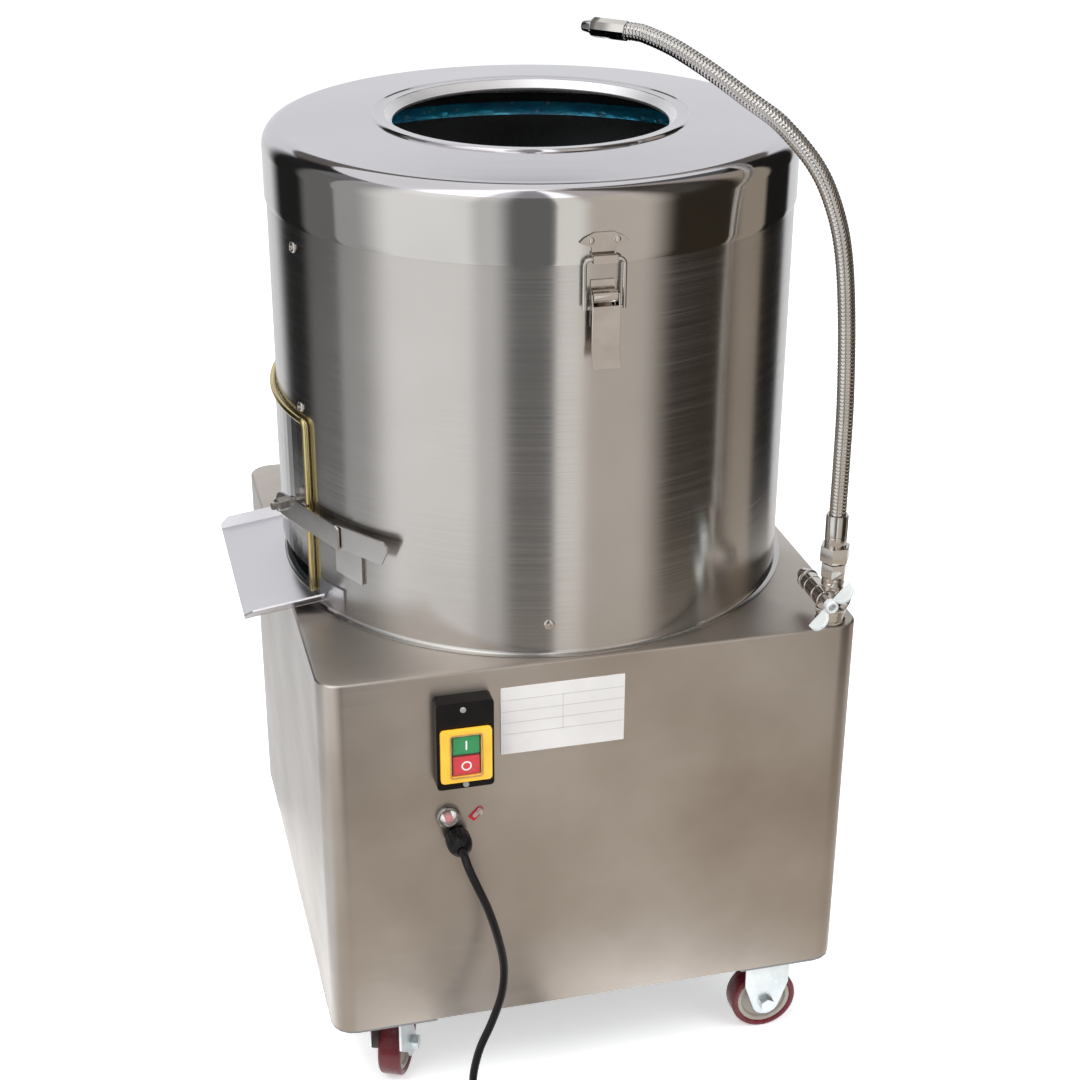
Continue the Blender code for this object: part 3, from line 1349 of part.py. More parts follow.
def build_switch():
    """Switch box with its raised frame and two push buttons."""
    back = front_y - gap
    centre = (switch_x, back - switch_box_depth / 2, switch_height)
    size = (switch_box_width, switch_box_depth, switch_box_height)
    box = block("switch_box", size, centre, black_plastic, corner=switch_box_corner, corner_axis=1)
    middle = switch_height - switch_frame_drop
    inside = button_depth - button_proud + button_travel + gap
    pocket = (button_width + 2 * gap, 2 * inside, button_height + 2 * gap)
    for way in (-1, 1):
        place = (switch_x, switch_face_y, middle + way * button_spacing / 2)
        cut(box, block("cut_pocket", pocket, place))
    frame_centre = (switch_x, switch_face_y - gap - switch_frame_depth / 2, middle)
    frame_size = (switch_frame_width, switch_frame_depth, switch_frame_height)
    frame = block("switch_frame", frame_size, frame_centre, yellow_plastic, corner=switch_box_corner, corner_axis=1)
    opening = (switch_window_width, switch_frame_depth + 2 * cut_overrun, switch_window_height)
    cut(frame, block("cut_window", opening, frame_centre))
    front = switch_face_y - button_proud
    for name, way, material in (("start_button", 1, green_plastic), ("stop_button", -1, red_plastic)):
        place = (switch_x, front + button_depth / 2, middle + way * button_spacing / 2)
        button = block(name, (button_width, button_depth, button_height), place, material)
        edge = button.modifiers.new("edge", 'BEVEL')
        edge.width = button_edge
        edge.segments = 1


def build_reset():
    """Bezel of the motor's overload reset with its domed button."""
    place = (reset_x, front_y - gap, reset_height)
    bore = reset_button_radius + running_gap
    lip = reset_bezel_depth
    ring = [(reset_bezel_radius * 0.9, lip), (reset_bezel_radius, lip * 0.7), (reset_bezel_radius, 0), (bore, 0),
            (bore, lip)]
    turned("reset_bezel", ring, place, nickel, steps=small_steps, axis=(0, -1, 0))
    front = lip + reset_proud
    dome = [(0, front + reset_dome_height)]
    for share in (0.5, 0.85):
        dome.append((reset_button_radius * share, front + reset_dome_height * math.sqrt(1 - share ** 2)))
    dome += [(reset_button_radius, front), (reset_button_radius, front - reset_button_depth),
             (0, front - reset_button_depth)]
    turned("reset_button", dome, place, clear_rubber, steps=small_steps, axis=(0, -1, 0), closed=False)


def build_earth():
    """Earth screw over a small tag."""
    face = front_y - gap
    length = earth_tag_length
    half = earth_tag_width / 2
    loop = [(0, -half), (0, half)]
    loop = arc((0, 0), half, -90, 90, 7) + [(-length + half, half), (-length + half, -half)]
    angle = math.radians(earth_tag_angle)
    side = Vector((math.cos(angle), 0, math.sin(angle)))
    up = Vector((-math.sin(angle), 0, math.cos(angle)))
    place = (earth_x, face - earth_tag_sheet / 2, earth_height)
    tag = prism("earth_terminal", [loop], earth_tag_sheet, frame_matrix(place, side, up), red_plastic)
    start = (earth_x, face - earth_tag_sheet / 2, earth_height)
    end = (earth_x, face - earth_tag_sheet - earth_head_length, earth_height)
    return fuse(tag, rod("earth_screw", earth_head_radius, start, end, steps=6, end_radius=earth_head_radius * 0.9))


def build_gland():
    """Domed cable gland through the front panel."""
    reach = gland_reach - gap
    outline = [
        (0, reach), (gland_nose_radius, reach), (gland_nut_radius * 0.8, reach * 0.85),
        (gland_nut_radius, reach * 0.6), (gland_nut_radius, reach * 0.2), (gland_neck_radius, reach * 0.17),
        (gland_neck_radius, 0), (gland_shank_radius, 0), (gland_shank_radius, -gland_shank_length),
        (0, -gland_shank_length),
    ]
    place = (gland_x, front_y - gap, gland_height)
    return turned("cable_gland", outline, place, black_plastic, steps=small_steps, axis=(0, -1, 0), closed=False)


def build_name_plate():
    """Bare plate on the front panel."""
    centre = (plate_x, front_y - gap - plate_thickness / 2, plate_height)
    return block("name_plate", (plate_width, plate_thickness, plate_depth), centre, label)


# Water fitting and spray arm


def build_valve():
    """Plated valve body: foot, riser, cartridge, stem and an open side port."""
    base = cabinet_top + gap
    run = cabinet_top + valve_run_rise
    foot = (valve_x, valve_y, base)
    valve = rod("inlet_valve", nipple_radius, foot, (valve_x, valve_y, base + nipple_height), nickel)
    collar_low = base + nipple_height - nipple_collar_height / 2
    riser_top = cabinet_top + riser_height
    heading = math.radians(port_angle)
    ahead = Vector((math.sin(heading), -math.cos(heading), 0))
    middle = Vector((valve_x, valve_y, run))
    beside = valve_x - cartridge_offset
    fuse(
        valve,
        rod("collar", nipple_collar_radius, (valve_x, valve_y, collar_low),
            (valve_x, valve_y, collar_low + nipple_collar_height), steps=6),
        rod("riser", riser_radius, (valve_x, valve_y, base + nipple_height / 2), (valve_x, valve_y, riser_top),
            steps=12),
        rod("port", port_radius, middle, middle + ahead * port_reach),
        rod("cartridge", cartridge_radius, (beside, valve_y + cartridge_back, run),
            (beside, valve_y - cartridge_front, run), steps=12),
        rod("stem", stem_radius, (beside, valve_y, run), (beside, valve_y - stem_reach, run), steps=pin_steps),
    )
    mouth = middle + ahead * (port_reach + cut_overrun)
    return cut(valve, rod("cut_port", port_bore_radius, middle + ahead * (port_reach - port_depth), mouth))


def build_valve_handle():
    """Two-winged handle on the front end of the stem."""
    run = cabinet_top + valve_run_rise
    axis_place = (valve_x - cartridge_offset, valve_y - stem_reach - gap, run)
    carrier = empty("handle_axis", axis_place)
    turn = math.radians(handle_rest_angle)
    side = Vector((math.cos(turn), 0, math.sin(turn)))
    middle = handle_length - handle_wing_length / 2
    wing = [(x, handle_bar_depth + y * handle_wing_rise)
            for x, y in arc((0, 0), 1, 0, 180, 11)]
    loop = [(-handle_length, 0), (handle_length, 0)]
    loop += [(middle + x * handle_wing_length / 2, y) for x, y in wing]
    loop += [(-middle + x * handle_wing_length / 2, y) for x, y in wing]
    frame = frame_matrix((0, 0, 0), side, Vector((0, -1, 0)))
    handle = prism("valve_handle", [loop], handle_thickness, frame, white_plastic, carrier)
    return fuse(handle, rod("handle_hub", handle_hub_radius, (0, 0, 0), (0, -handle_hub_depth, 0), None, carrier))


def build_union():
    """Swivel union between the valve and the spray arm."""
    place = Vector((valve_x, valve_y, 0))

    def ring(name, radius, start, height, steps, material=None):
        bottom = place + Vector((0, 0, start))
        return rod(name, radius, bottom, bottom + Vector((0, 0, height)), material, steps=steps)

    lap = union_neck_height / 4
    neck_low = union_nut_bottom - union_neck_height - lap
    ferrule_low = ferrule_top - ferrule_height - lap
    base = ring("hose_union", union_hex_radius, union_bottom, union_hex_height, 6, nickel)
    return fuse(
        base,
        ring("union_neck", union_neck_radius, neck_low, union_neck_height + 2 * lap, small_steps),
        ring("union_nut", nut_hex_radius, union_nut_bottom, nut_hex_height, 6),
        ring("ferrule", ferrule_radius, ferrule_low, ferrule_top - ferrule_low, small_steps),
    )


def arm_points(count):
    """Points of the spray arm's centre line, from its ferrule to its nozzle."""
    base = Vector((valve_x, valve_y, ferrule_top + gap))
    toward = -Vector((valve_x, valve_y, 0)).normalized()
    route = [(along * arm_reach, 0, rise * arm_rise) for along, rise in arm_route_shares]
    points, length = smooth_points(route, count)
    return [base + toward * p.x + Vector((0, 0, p.z)) for p in points], length, toward


def build_hose():
    """Ribbed metal hose with its bore."""
    points, length, toward = arm_points(2 * hose_rib_count + 1)
    radii = [1.0 - (hose_valley_depth / hose_radius) * (i % 2) for i in range(len(points))]
    hose = tube("gooseneck_hose", points, hose_radius, nickel, resolution=2, radii=radii, mesh=True)
    bore, _, _ = arm_points(hose_bore_points)
    bore[0] -= Vector((0, 0, cut_overrun))
    bore[-1] += toward * cut_overrun
    cut(hose, tube("cut_hose", bore, hose_bore_radius, resolution=1, mesh=True))
    print(f"spray arm: {hose_rib_count} ribs on {length:.3f} m")
    return points, toward


def build_nozzle(end, toward):
    """Faceted body and tip at the arm's end, bored at the tip."""
    start = end + toward * gap
    middle = start + toward * nozzle_length
    tip = middle + toward * nozzle_tip_length
    nozzle = rod("spray_nozzle", nozzle_radius, start, middle, nickel, steps=8)
    fuse(nozzle, rod("tip", nozzle_tip_radius, middle - toward * gap, tip, steps=12))
    return cut(nozzle, rod("cut_nozzle", nozzle_bore_radius, tip - toward * nozzle_bore_depth,
                           tip + toward * cut_overrun, steps=8))


# Mains lead


def coil_points():
    """Centre line of the coil: in along the lower layer, up at the middle, out along the upper one, then the tail."""
    start = Vector(cord_route[-1]) + Vector((0, -gap, 0))
    centre = Vector((start.x + coil_outer_radius, start.y - 2 * cord_radius, coil_floor))
    turns = coil_turns_per_layer
    count = int(turns * coil_points_per_turn)
    climb = coil_points_per_turn // 2
    points = [start, start + Vector((0, -2 * cord_radius, 0))]
    polar = []
    for i in range(1, count + 1):
        polar.append((i, coil_outer_radius - coil_pitch * i / coil_points_per_turn, 0.0))
    for i in range(1, climb + 1):
        lift = (1 - math.cos(math.pi * i / climb)) / 2
        dip = coil_climb_dip * math.sin(math.pi * i / climb)
        polar.append((count + i, coil_inner_radius - dip, coil_layer_rise * lift))
    for i in range(1, count + 1):
        polar.append((count + climb + i, coil_inner_radius + coil_pitch * i / coil_points_per_turn,
                      coil_layer_rise))
    for step, radius, rise in polar:
        angle = math.pi + 2 * math.pi * step / coil_points_per_turn
        points.append(centre + Vector((radius * math.cos(angle), radius * math.sin(angle), rise)))
    last = points[-1]
    step = polar[-1][0]
    angle = math.pi + 2 * math.pi * step / coil_points_per_turn
    heading = Vector((-math.sin(angle), math.cos(angle), 0))
    parts_of_tail = 5
    for i in range(1, parts_of_tail + 1):
        share = i / parts_of_tail
        lift = coil_tail_rise * (3 * share ** 2 - 2 * share ** 3)
        points.append(last + heading * coil_tail_length * share + Vector((0, 0, lift)))
    points.append(points[-1] + heading * 2 * cord_radius)
    return points, centre, heading


def coil_gap(points):
    """Least distance between the coil's surfaces where it passes itself."""
    least = 1.0
    skip = coil_points_per_turn // 2
    for i in range(len(points) - 1):
        for k in range(i + skip, len(points) - 1):
            span = points[k + 1] - points[k]
            for share in (0.0, 0.5):
                place = points[i].lerp(points[i + 1], share)
                t = max(0.0, min(1.0, (place - points[k]).dot(span) / span.length_squared))
                least = min(least, (points[k] + span * t - place).length)
    return least - 2 * cord_radius


def build_cord():
    """Visible run, coil, tie and plug of the mains lead."""
    count = 31
    points, run = smooth_points(cord_route, count)
    tube("mains_cord", points, cord_radius, rubber, resolution=2)
    coil, centre, heading = coil_points()
    tube("cord_coil", coil, cord_radius, rubber, resolution=1)
    wound = sum((b - a).length for a, b in zip(coil, coil[1:]))
    print(f"mains lead: {run:.3f} m run, {wound:.3f} m coil, least gap {coil_gap(coil) * 1000:.2f} mm")
    build_tie(centre)
    build_plug(coil[-1] + heading * gap, heading)


def build_tie(centre):
    """Band round all the turns on the coil's right side."""
    inner = coil_inner_radius - cord_radius - tie_clearance
    outer = coil_outer_radius + cord_radius + tie_clearance
    low = -(coil_floor - tie_band)
    high = coil_layer_rise + cord_radius + tie_clearance
    hole = [(inner, low), (outer, low), (outer, high), (inner, high)]
    rim = [(inner - tie_band, low - tie_band), (outer + tie_band, low - tie_band),
           (outer + tie_band, high + tie_band), (inner - tie_band, high + tie_band)]
    matrix = frame_matrix(centre, (1, 0, 0), (0, 0, 1))
    return prism("cord_tie", [rim, hole[::-1]], tie_width, matrix, black_plastic)


def build_plug(start, heading):
    """Round two-pin plug lying on the floor."""
    neck = start + heading * plug_neck_length
    front = neck + heading * plug_body_length
    plug = rod("mains_plug", plug_neck_radius * 0.75, start, neck, black_plastic, end_radius=plug_neck_radius)
    fuse(plug, rod("plug_body", plug_body_radius * 0.8, neck - heading * gap, front, steps=middle_steps,
                   end_radius=plug_body_radius))
    side = Vector((0, 0, 1)).cross(heading)
    for way in (-1, 1):
        foot = front + side * (way * plug_pin_spacing / 2) - heading * gap
        fuse(plug, rod("plug_pin", plug_pin_radius, foot, foot + heading * plug_pin_length, steps=plug_pin_points))
    return plug


def main():
    """Build every piece of the machine."""
    build_cabinet()
    build_base_frame()
    build_fixed_caster("fr", -1)
    build_fixed_caster("br", 1)
    build_swivel_caster("fl", -1, swivel_front_heading)
    build_swivel_caster("bl", 1, swivel_rear_heading)
    build_drum()
    build_liner()
    build_drum_floor()
    build_drain()
    build_turntable()
    build_bearings()
    build_drive()
    build_lid()
    build_latch("front", 0.0)
    build_latch("rear", 180.0)
    build_door()
    build_door_hinge()
    build_door_lever()
    build_keeper()
    build_door_rod()
    build_tray()
    build_switch()
    build_reset()
    build_earth()
    build_gland()
    build_name_plate()
    build_valve()
    build_valve_handle()
    build_union()
    points, toward = build_hose()
    build_nozzle(points[-1], toward)
    build_cord()


main()
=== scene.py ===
"""Dressed scene of a potato peeling machine on casters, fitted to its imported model.

Each sub-assembly is a class. Its dataclass fields hold its sizes in metres, and its methods build the fine
pieces and dress the model's own. Places are given from the drum's axis and the floor.
"""
import logging
import math
from collections.abc import Callable, Sequence
from dataclasses import dataclass, field
from enum import Enum

import bmesh
import bpy
from mathutils import Matrix, Vector


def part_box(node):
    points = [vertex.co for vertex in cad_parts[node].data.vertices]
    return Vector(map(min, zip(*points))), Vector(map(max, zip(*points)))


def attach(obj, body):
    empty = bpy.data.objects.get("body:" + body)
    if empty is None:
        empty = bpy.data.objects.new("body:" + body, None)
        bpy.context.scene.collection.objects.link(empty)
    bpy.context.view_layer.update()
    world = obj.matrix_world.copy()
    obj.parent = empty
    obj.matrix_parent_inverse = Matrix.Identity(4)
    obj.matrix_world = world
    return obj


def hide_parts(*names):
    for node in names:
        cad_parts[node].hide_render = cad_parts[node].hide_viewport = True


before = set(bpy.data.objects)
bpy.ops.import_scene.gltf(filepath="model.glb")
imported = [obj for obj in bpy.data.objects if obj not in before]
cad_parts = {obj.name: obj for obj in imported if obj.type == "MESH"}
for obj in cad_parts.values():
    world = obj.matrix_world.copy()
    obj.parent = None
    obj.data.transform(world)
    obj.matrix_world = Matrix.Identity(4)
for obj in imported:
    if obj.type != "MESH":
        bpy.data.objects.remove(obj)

Triple = tuple[float, float, float]
Place = Vector | Triple
Loop = list[tuple[float, float]]

log = logging.getLogger("potato_peeler")

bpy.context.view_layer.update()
DRUM_LOW, DRUM_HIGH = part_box("drum_shell")
AXIS = Vector(((DRUM_LOW.x + DRUM_HIGH.x) / 2, (DRUM_LOW.y + DRUM_HIGH.y) / 2, 0.0))
# Metres, and degrees for the angle
GAP = 0.0003
CUTTER_DEPTH = 0.02
WELD_DISTANCE = 0.00001
EASED_ANGLE = 35
BASE = 0.5263
LID_RADIUS = 0.272
LID_SEAM = 0.927
# Ranges of a noise, or of an edge's sharpness, in which a finish changes
GRAIN_SPAN = (0.3, 0.7)
PATCH_SPAN = (0.35, 0.65)
SPECK_AND_GLINT_SPAN = (0.66, 0.80)
WEAR_SPAN = (0.52, 0.60)
COAT_ROUGHNESS = 0.12
# Share of green and of blue that full warmth takes from a card
WARM_GREEN, WARM_BLUE = 0.17, 0.36


class Grain(Enum):
    """How the surface of a finish is marked."""

    LEVEL = "level brushing"
    SPUN = "rings round the drum's axis"
    CAST = "cast skin"
    GRIT = "bonded grit"
    MOULDED = "moulded skin"


class End(Enum):
    """The two ends of the machine's front-to-back line."""

    FRONT = 1
    REAR = -1


class Mark(Enum):
    """Generic signs on the push buttons."""

    BAR = "bar"
    RING = "ring"


@dataclass(frozen=True)
class Wiring:
    """Shader nodes of one material or world."""

    tree: bpy.types.NodeTree

    def add(self, kind: str, inputs: dict | None = None, **settings: str) -> bpy.types.Node:
        """Adds a node.

        Args:
            kind: Its type, as Blender names it after "ShaderNode".
            inputs: What goes into its inputs, by name or index.
            settings: Its own properties.

        Returns:
            The node.
        """
        node = self.tree.nodes.new("ShaderNode" + kind)
        for name, value in settings.items():
            setattr(node, name, value)
        self.feed(node, inputs or {})
        return node

    def feed(self, node: bpy.types.Node, inputs: dict) -> None:
        """Fills a node's inputs.

        Args:
            node: The node.
            inputs: A constant, or another node's output, for each input by name or index.
        """
        for key, value in inputs.items():
            if isinstance(value, bpy.types.NodeSocket):
                self.tree.links.new(value, node.inputs[key])
            else:
                node.inputs[key].default_value = value

    def place(self, scale: Triple = (1, 1, 1)) -> bpy.types.NodeSocket:
        """Object coordinates, stretched.

        Args:
            scale: Factors along X, Y and Z.

        Returns:
            The vector output.
        """
        where = self.add("TexCoord").outputs["Object"]
        return self.add("Mapping", {"Vector": where, "Scale": scale}).outputs["Vector"]

    def rings(self, soft: float) -> bpy.types.NodeSocket:
        """Coordinates that run out from the drum's axis and down its side.

        Args:
            soft: Factor along the rings.

        Returns:
            The vector output.
        """
        split = self.add("SeparateXYZ", {"Vector": self.add("TexCoord").outputs["Object"]}).outputs
        flat = self.add("CombineXYZ", {"X": split["X"], "Y": split["Y"]}).outputs["Vector"]
        reach = self.add("VectorMath", {0: flat}, operation='LENGTH').outputs["Value"]
        along = self.add("Math", {0: reach, 1: split["Z"]}, operation='SUBTRACT').outputs["Value"]
        line = self.add("CombineXYZ", {"X": along}).outputs["Vector"]
        drift = self.add("VectorMath", {0: flat, "Scale": soft}, operation='SCALE').outputs["Vector"]
        return self.add("VectorMath", {0: line, 1: drift}).outputs["Vector"]

    def noise(self, vector: bpy.types.NodeSocket, scale: float, detail: float) -> bpy.types.NodeSocket:
        """One noise texture.

        Args:
            vector: Its coordinates.
            scale: Marks per metre.
            detail: Octaves.

        Returns:
            The factor output.
        """
        return self.add("TexNoise", {"Vector": vector, "Scale": scale, "Detail": detail}).outputs["Fac"]

    def span(self, value: bpy.types.NodeSocket, low: float, high: float, to_low: float,
             to_high: float) -> bpy.types.NodeSocket:
        """Maps a value to another range.

        Args:
            value: The socket to map.
            low: Its lower limit.
            high: Its upper limit.
            to_low: What low becomes.
            to_high: What high becomes.

        Returns:
            The mapped output.
        """
        ends = {"From Min": low, "From Max": high, "To Min": to_low, "To Max": to_high}
        return self.add("MapRange", {"Value": value, **ends}).outputs["Result"]

    def blend(self, value: bpy.types.NodeSocket, first: tuple | bpy.types.NodeSocket, second: Triple,
              low: float, high: float, most: float = 1.0) -> bpy.types.NodeSocket:
        """Lays a second colour over a first by a value.

        Args:
            value: The socket that chooses.
            first: The colour below, with its alpha, or its socket.
            second: The colour laid over it.
            low: Value where the second colour starts.
            high: Value where it is strongest.
            most: Its greatest share.

        Returns:
            The colour output.
        """
        share = self.span(value, low, high, 0.0, most)
        return self.add("Mix", {0: share, 6: first, 7: (*second, 1)}, data_type='RGBA').outputs[2]

    def seen(self) -> bpy.types.NodeSocket:
        """One where the ray comes from the camera, a gloss or a clear surface.

        Returns:
            The output socket.
        """
        path = self.add("LightPath").outputs
        sharp = self.add("Math", {0: path["Is Camera Ray"], 1: path["Is Glossy Ray"]}, operation='MAXIMUM')
        clear = {0: sharp.outputs["Value"], 1: path["Is Transmission Ray"]}
        return self.add("Math", clear, operation='MAXIMUM').outputs["Value"]


@dataclass(frozen=True)
class Finish:
    """A procedural surface finish.

    colour and tint are the two colours that large soft patches drift between, in linear light.
    grain_scale is in marks per metre across the brushing, and grain_depth in metres.
    """

    name: str
    colour: tuple
    tint: tuple
    roughness: float
    spread: float
    grain: Grain
    metallic: float = 0.0
    grain_scale: float = 700.0
    grain_depth: float = 0.00002
    patch_scale: float = 7.0
    anisotropy: float = 0.0
    coat: float = 0.0
    gloss: float = 0.5
    alpha: float = 1.0
    transmission: float = 0.0
    wear: float = 0.0
    # Colour of worn edges and of specks; bright specks are painted glints
    wear_and_glint_colour: tuple = (0.75, 0.74, 0.72)
    speck_and_glint: float = 0.0

    def material(self) -> bpy.types.Material:
        """Makes the material on first use.

        Returns:
            The Blender material of this finish.
        """
        made = bpy.data.materials.get(self.name)
        if made is not None and made.get("dressed"):
            return made
        made = bpy.data.materials.new(self.name)
        made["dressed"] = True
        made.use_nodes = True
        wiring = Wiring(made.node_tree)
        grain = self._grain(wiring)
        bump = wiring.add("Bump", {"Strength": 1.0, "Distance": self.grain_depth, "Height": grain})
        low, high = self.roughness - self.spread, self.roughness + self.spread
        inputs = {
            "Base Color": self._colour(wiring), "Roughness": wiring.span(grain, *GRAIN_SPAN, low, high),
            "Normal": bump.outputs["Normal"], "Metallic": self.metallic, "Anisotropic": self.anisotropy,
            "Anisotropic Rotation": 0.25 if self.anisotropy else 0.0, "Coat Weight": self.coat,
            "Coat Roughness": COAT_ROUGHNESS, "Specular IOR Level": self.gloss, "Alpha": self.alpha,
            "Transmission Weight": self.transmission}
        if self.anisotropy:
            tangent = wiring.add("Tangent", direction_type='RADIAL', axis='Z')
            inputs["Tangent"] = tangent.outputs["Tangent"]
        wiring.feed(made.node_tree.nodes["Principled BSDF"], inputs)
        return made

    def _colour(self, wiring: Wiring) -> bpy.types.NodeSocket:
        """Soft patches, then specks and worn edges over them; bright specks are painted glints.

        Args:
            wiring: The material's nodes.

        Returns:
            The colour output.
        """
        patches = wiring.noise(wiring.place(), self.patch_scale, 4.0)
        colour = wiring.blend(patches, (*self.colour, 1), self.tint, *PATCH_SPAN)
        if self.speck_and_glint:
            specks_and_glints = wiring.noise(wiring.place(), self.grain_scale * 0.7, 1.0)
            colour = wiring.blend(specks_and_glints, colour, self.wear_and_glint_colour, *SPECK_AND_GLINT_SPAN, self.speck_and_glint)
        if self.wear:
            edge = wiring.add("NewGeometry").outputs["Pointiness"]
            colour = wiring.blend(edge, colour, self.wear_and_glint_colour, *WEAR_SPAN, self.wear)
        return colour

    def _grain(self, wiring: Wiring) -> bpy.types.NodeSocket:
        """Noise that marks the surface.

        Args:
            wiring: The material's nodes.

        Returns:
            The output socket of the noise.
        """
        soft = 3.0 / self.grain_scale
        if self.grain is Grain.SPUN:
            return wiring.noise(wiring.rings(soft), self.grain_scale, 3.0)
        scale = (soft, soft, 1) if self.grain is Grain.LEVEL else (1, 1, 1)
        detail = {Grain.CAST: 5.0, Grain.MOULDED: 2.0}.get(self.grain, 3.0)
        return wiring.noise(wiring.place(scale), self.grain_scale, detail)


CABINET_STEEL = Finish("cabinet_steel", (0.42, 0.375, 0.335), (0.555, 0.515, 0.48), 0.34, 0.05, Grain.LEVEL,
    1.0, anisotropy=0.6, grain_depth=0.000004, patch_scale=5.0)
DRUM_STEEL = Finish("drum_steel", (0.545, 0.525, 0.505), (0.60, 0.58, 0.56), 0.20, 0.04, Grain.LEVEL, 1.0,
    anisotropy=0.75, grain_depth=0.0000025, patch_scale=5.0)
LID_STEEL = Finish("lid_steel", (0.655, 0.635, 0.665), (0.70, 0.68, 0.71), 0.085, 0.015, Grain.SPUN, 1.0,
    anisotropy=0.3, grain_depth=0.0000008, patch_scale=6.0)
# Lighter copy of the lid's steel for the mouth's funnel: its extra brightness is a painted reflection
PAINTED_BRIGHT_MOUTH_STEEL = Finish("mouth_steel_painted_bright", (0.80, 0.79, 0.805), (0.86, 0.85, 0.865), 0.42, 0.03, Grain.LEVEL, 1.0,
    grain_depth=0.000001, patch_scale=8.0)
SKIRT_STEEL = Finish("lid_skirt_steel", (0.60, 0.585, 0.565), (0.66, 0.64, 0.62), 0.075, 0.015, Grain.LEVEL,
    1.0, anisotropy=0.5, grain_depth=0.000001, patch_scale=5.0)
SHEET_STEEL = Finish("sheet_steel", (0.63, 0.62, 0.65), (0.69, 0.68, 0.71), 0.24, 0.02, Grain.LEVEL, 1.0,
    grain_scale=240.0, grain_depth=0.0000004, patch_scale=5.0)
FITTING_STEEL = Finish("fitting_steel", (0.50, 0.475, 0.455), (0.58, 0.555, 0.535), 0.20, 0.04, Grain.LEVEL,
    1.0, grain_depth=0.000003, patch_scale=18.0, wear=0.4)
NICKEL = Finish("nickel_plate", (0.60, 0.56, 0.525), (0.70, 0.66, 0.62), 0.09, 0.03, Grain.CAST, 1.0,
    grain_scale=160.0, grain_depth=0.00001, patch_scale=35.0, wear=0.4)
BRIGHT_NICKEL = Finish("bright_nickel", (0.63, 0.61, 0.585), (0.70, 0.68, 0.66), 0.12, 0.04, Grain.CAST, 1.0,
    grain_scale=160.0, grain_depth=0.000006, patch_scale=30.0)
DULL_NICKEL = Finish("dull_nickel", (0.24, 0.23, 0.22), (0.32, 0.30, 0.29), 0.26, 0.05, Grain.CAST, 1.0,
    grain_scale=160.0, grain_depth=0.00001, patch_scale=35.0, wear=0.3)
ZINC = Finish("zinc_plate", (0.56, 0.61, 0.63), (0.66, 0.69, 0.69), 0.34, 0.07, Grain.CAST, 1.0,
    grain_scale=220.0, grain_depth=0.00001, patch_scale=30.0, wear=0.3)
YELLOW_ZINC = Finish("yellow_zinc", (0.58, 0.47, 0.20), (0.68, 0.58, 0.30), 0.20, 0.05, Grain.CAST, 1.0,
    grain_scale=120.0, grain_depth=0.000004, patch_scale=25.0)
PAINTED_STEEL = Finish("painted_steel", (0.13, 0.14, 0.15), (0.18, 0.19, 0.20), 0.50, 0.08, Grain.MOULDED,
    grain_scale=500.0, grain_depth=0.00002, patch_scale=9.0, wear=0.5, wear_and_glint_colour=(0.4, 0.39, 0.37))
CAST_IRON = Finish("cast_iron", (0.11, 0.11, 0.12), (0.17, 0.165, 0.16), 0.58, 0.10, Grain.CAST, 0.7,
    grain_scale=350.0, grain_depth=0.0001, patch_scale=20.0, wear=0.4, wear_and_glint_colour=(0.4, 0.39, 0.38))
GROUND_STEEL = Finish("ground_steel", (0.60, 0.60, 0.61), (0.66, 0.66, 0.66), 0.24, 0.05, Grain.LEVEL, 1.0,
    grain_depth=0.000004, patch_scale=20.0)
# Near-black grit, its own dark colour, with a bluish tint and teal specks that are a painted bluish sheen
GRIT = Finish("abrasive_grit", (0.008, 0.011, 0.013), (0.014, 0.020, 0.023), 0.48, 0.16, Grain.GRIT,
    grain_scale=480.0, grain_depth=0.0005, patch_scale=12.0, coat=0.15, speck_and_glint=0.25,
    wear_and_glint_colour=(0.05, 0.10, 0.11))
# Band at the top of the lining: its bright teal colour is a painted teal reflection, and its bright specks
# are painted glints
TEAL_REFLECTION_GRIT = Finish("teal_reflection_grit", (0.02, 0.40, 0.72), (0.04, 0.66, 0.95), 0.14, 0.05, Grain.GRIT, 0.45,
    grain_scale=150.0, grain_depth=0.0006, patch_scale=26.0, coat=1.0, speck_and_glint=0.8,
    wear_and_glint_colour=(0.75, 0.95, 1.0))
RUBBER = Finish("black_rubber", (0.015, 0.015, 0.016), (0.022, 0.021, 0.021), 0.55, 0.08, Grain.MOULDED,
    grain_scale=700.0, grain_depth=0.00002, patch_scale=30.0)
CORD_SKIN = Finish("cord_skin", (0.004, 0.004, 0.0042), (0.007, 0.007, 0.0075), 0.34, 0.05, Grain.MOULDED,
    grain_scale=600.0, grain_depth=0.00001, patch_scale=22.0, gloss=0.25)
BLACK_PLASTIC = Finish("black_plastic", (0.0035, 0.003, 0.0032), (0.006, 0.0055, 0.006), 0.24, 0.04,
    Grain.MOULDED, grain_scale=800.0, grain_depth=0.00001, patch_scale=30.0, gloss=0.2)
YELLOW_PLASTIC = Finish("yellow_plastic", (0.93, 0.47, 0.028), (0.98, 0.53, 0.04), 0.32, 0.05, Grain.MOULDED,
    grain_scale=800.0, grain_depth=0.00001, patch_scale=30.0, coat=0.2)
GREEN_PLASTIC = Finish("green_plastic", (0.004, 0.19, 0.055), (0.006, 0.25, 0.075), 0.30, 0.04,
    Grain.MOULDED, grain_scale=800.0, grain_depth=0.00001, patch_scale=40.0, gloss=0.2)
RED_PLASTIC = Finish("red_plastic", (0.50, 0.014, 0.026), (0.58, 0.022, 0.036), 0.30, 0.04, Grain.MOULDED,
    grain_scale=800.0, grain_depth=0.00001, patch_scale=40.0, gloss=0.2)
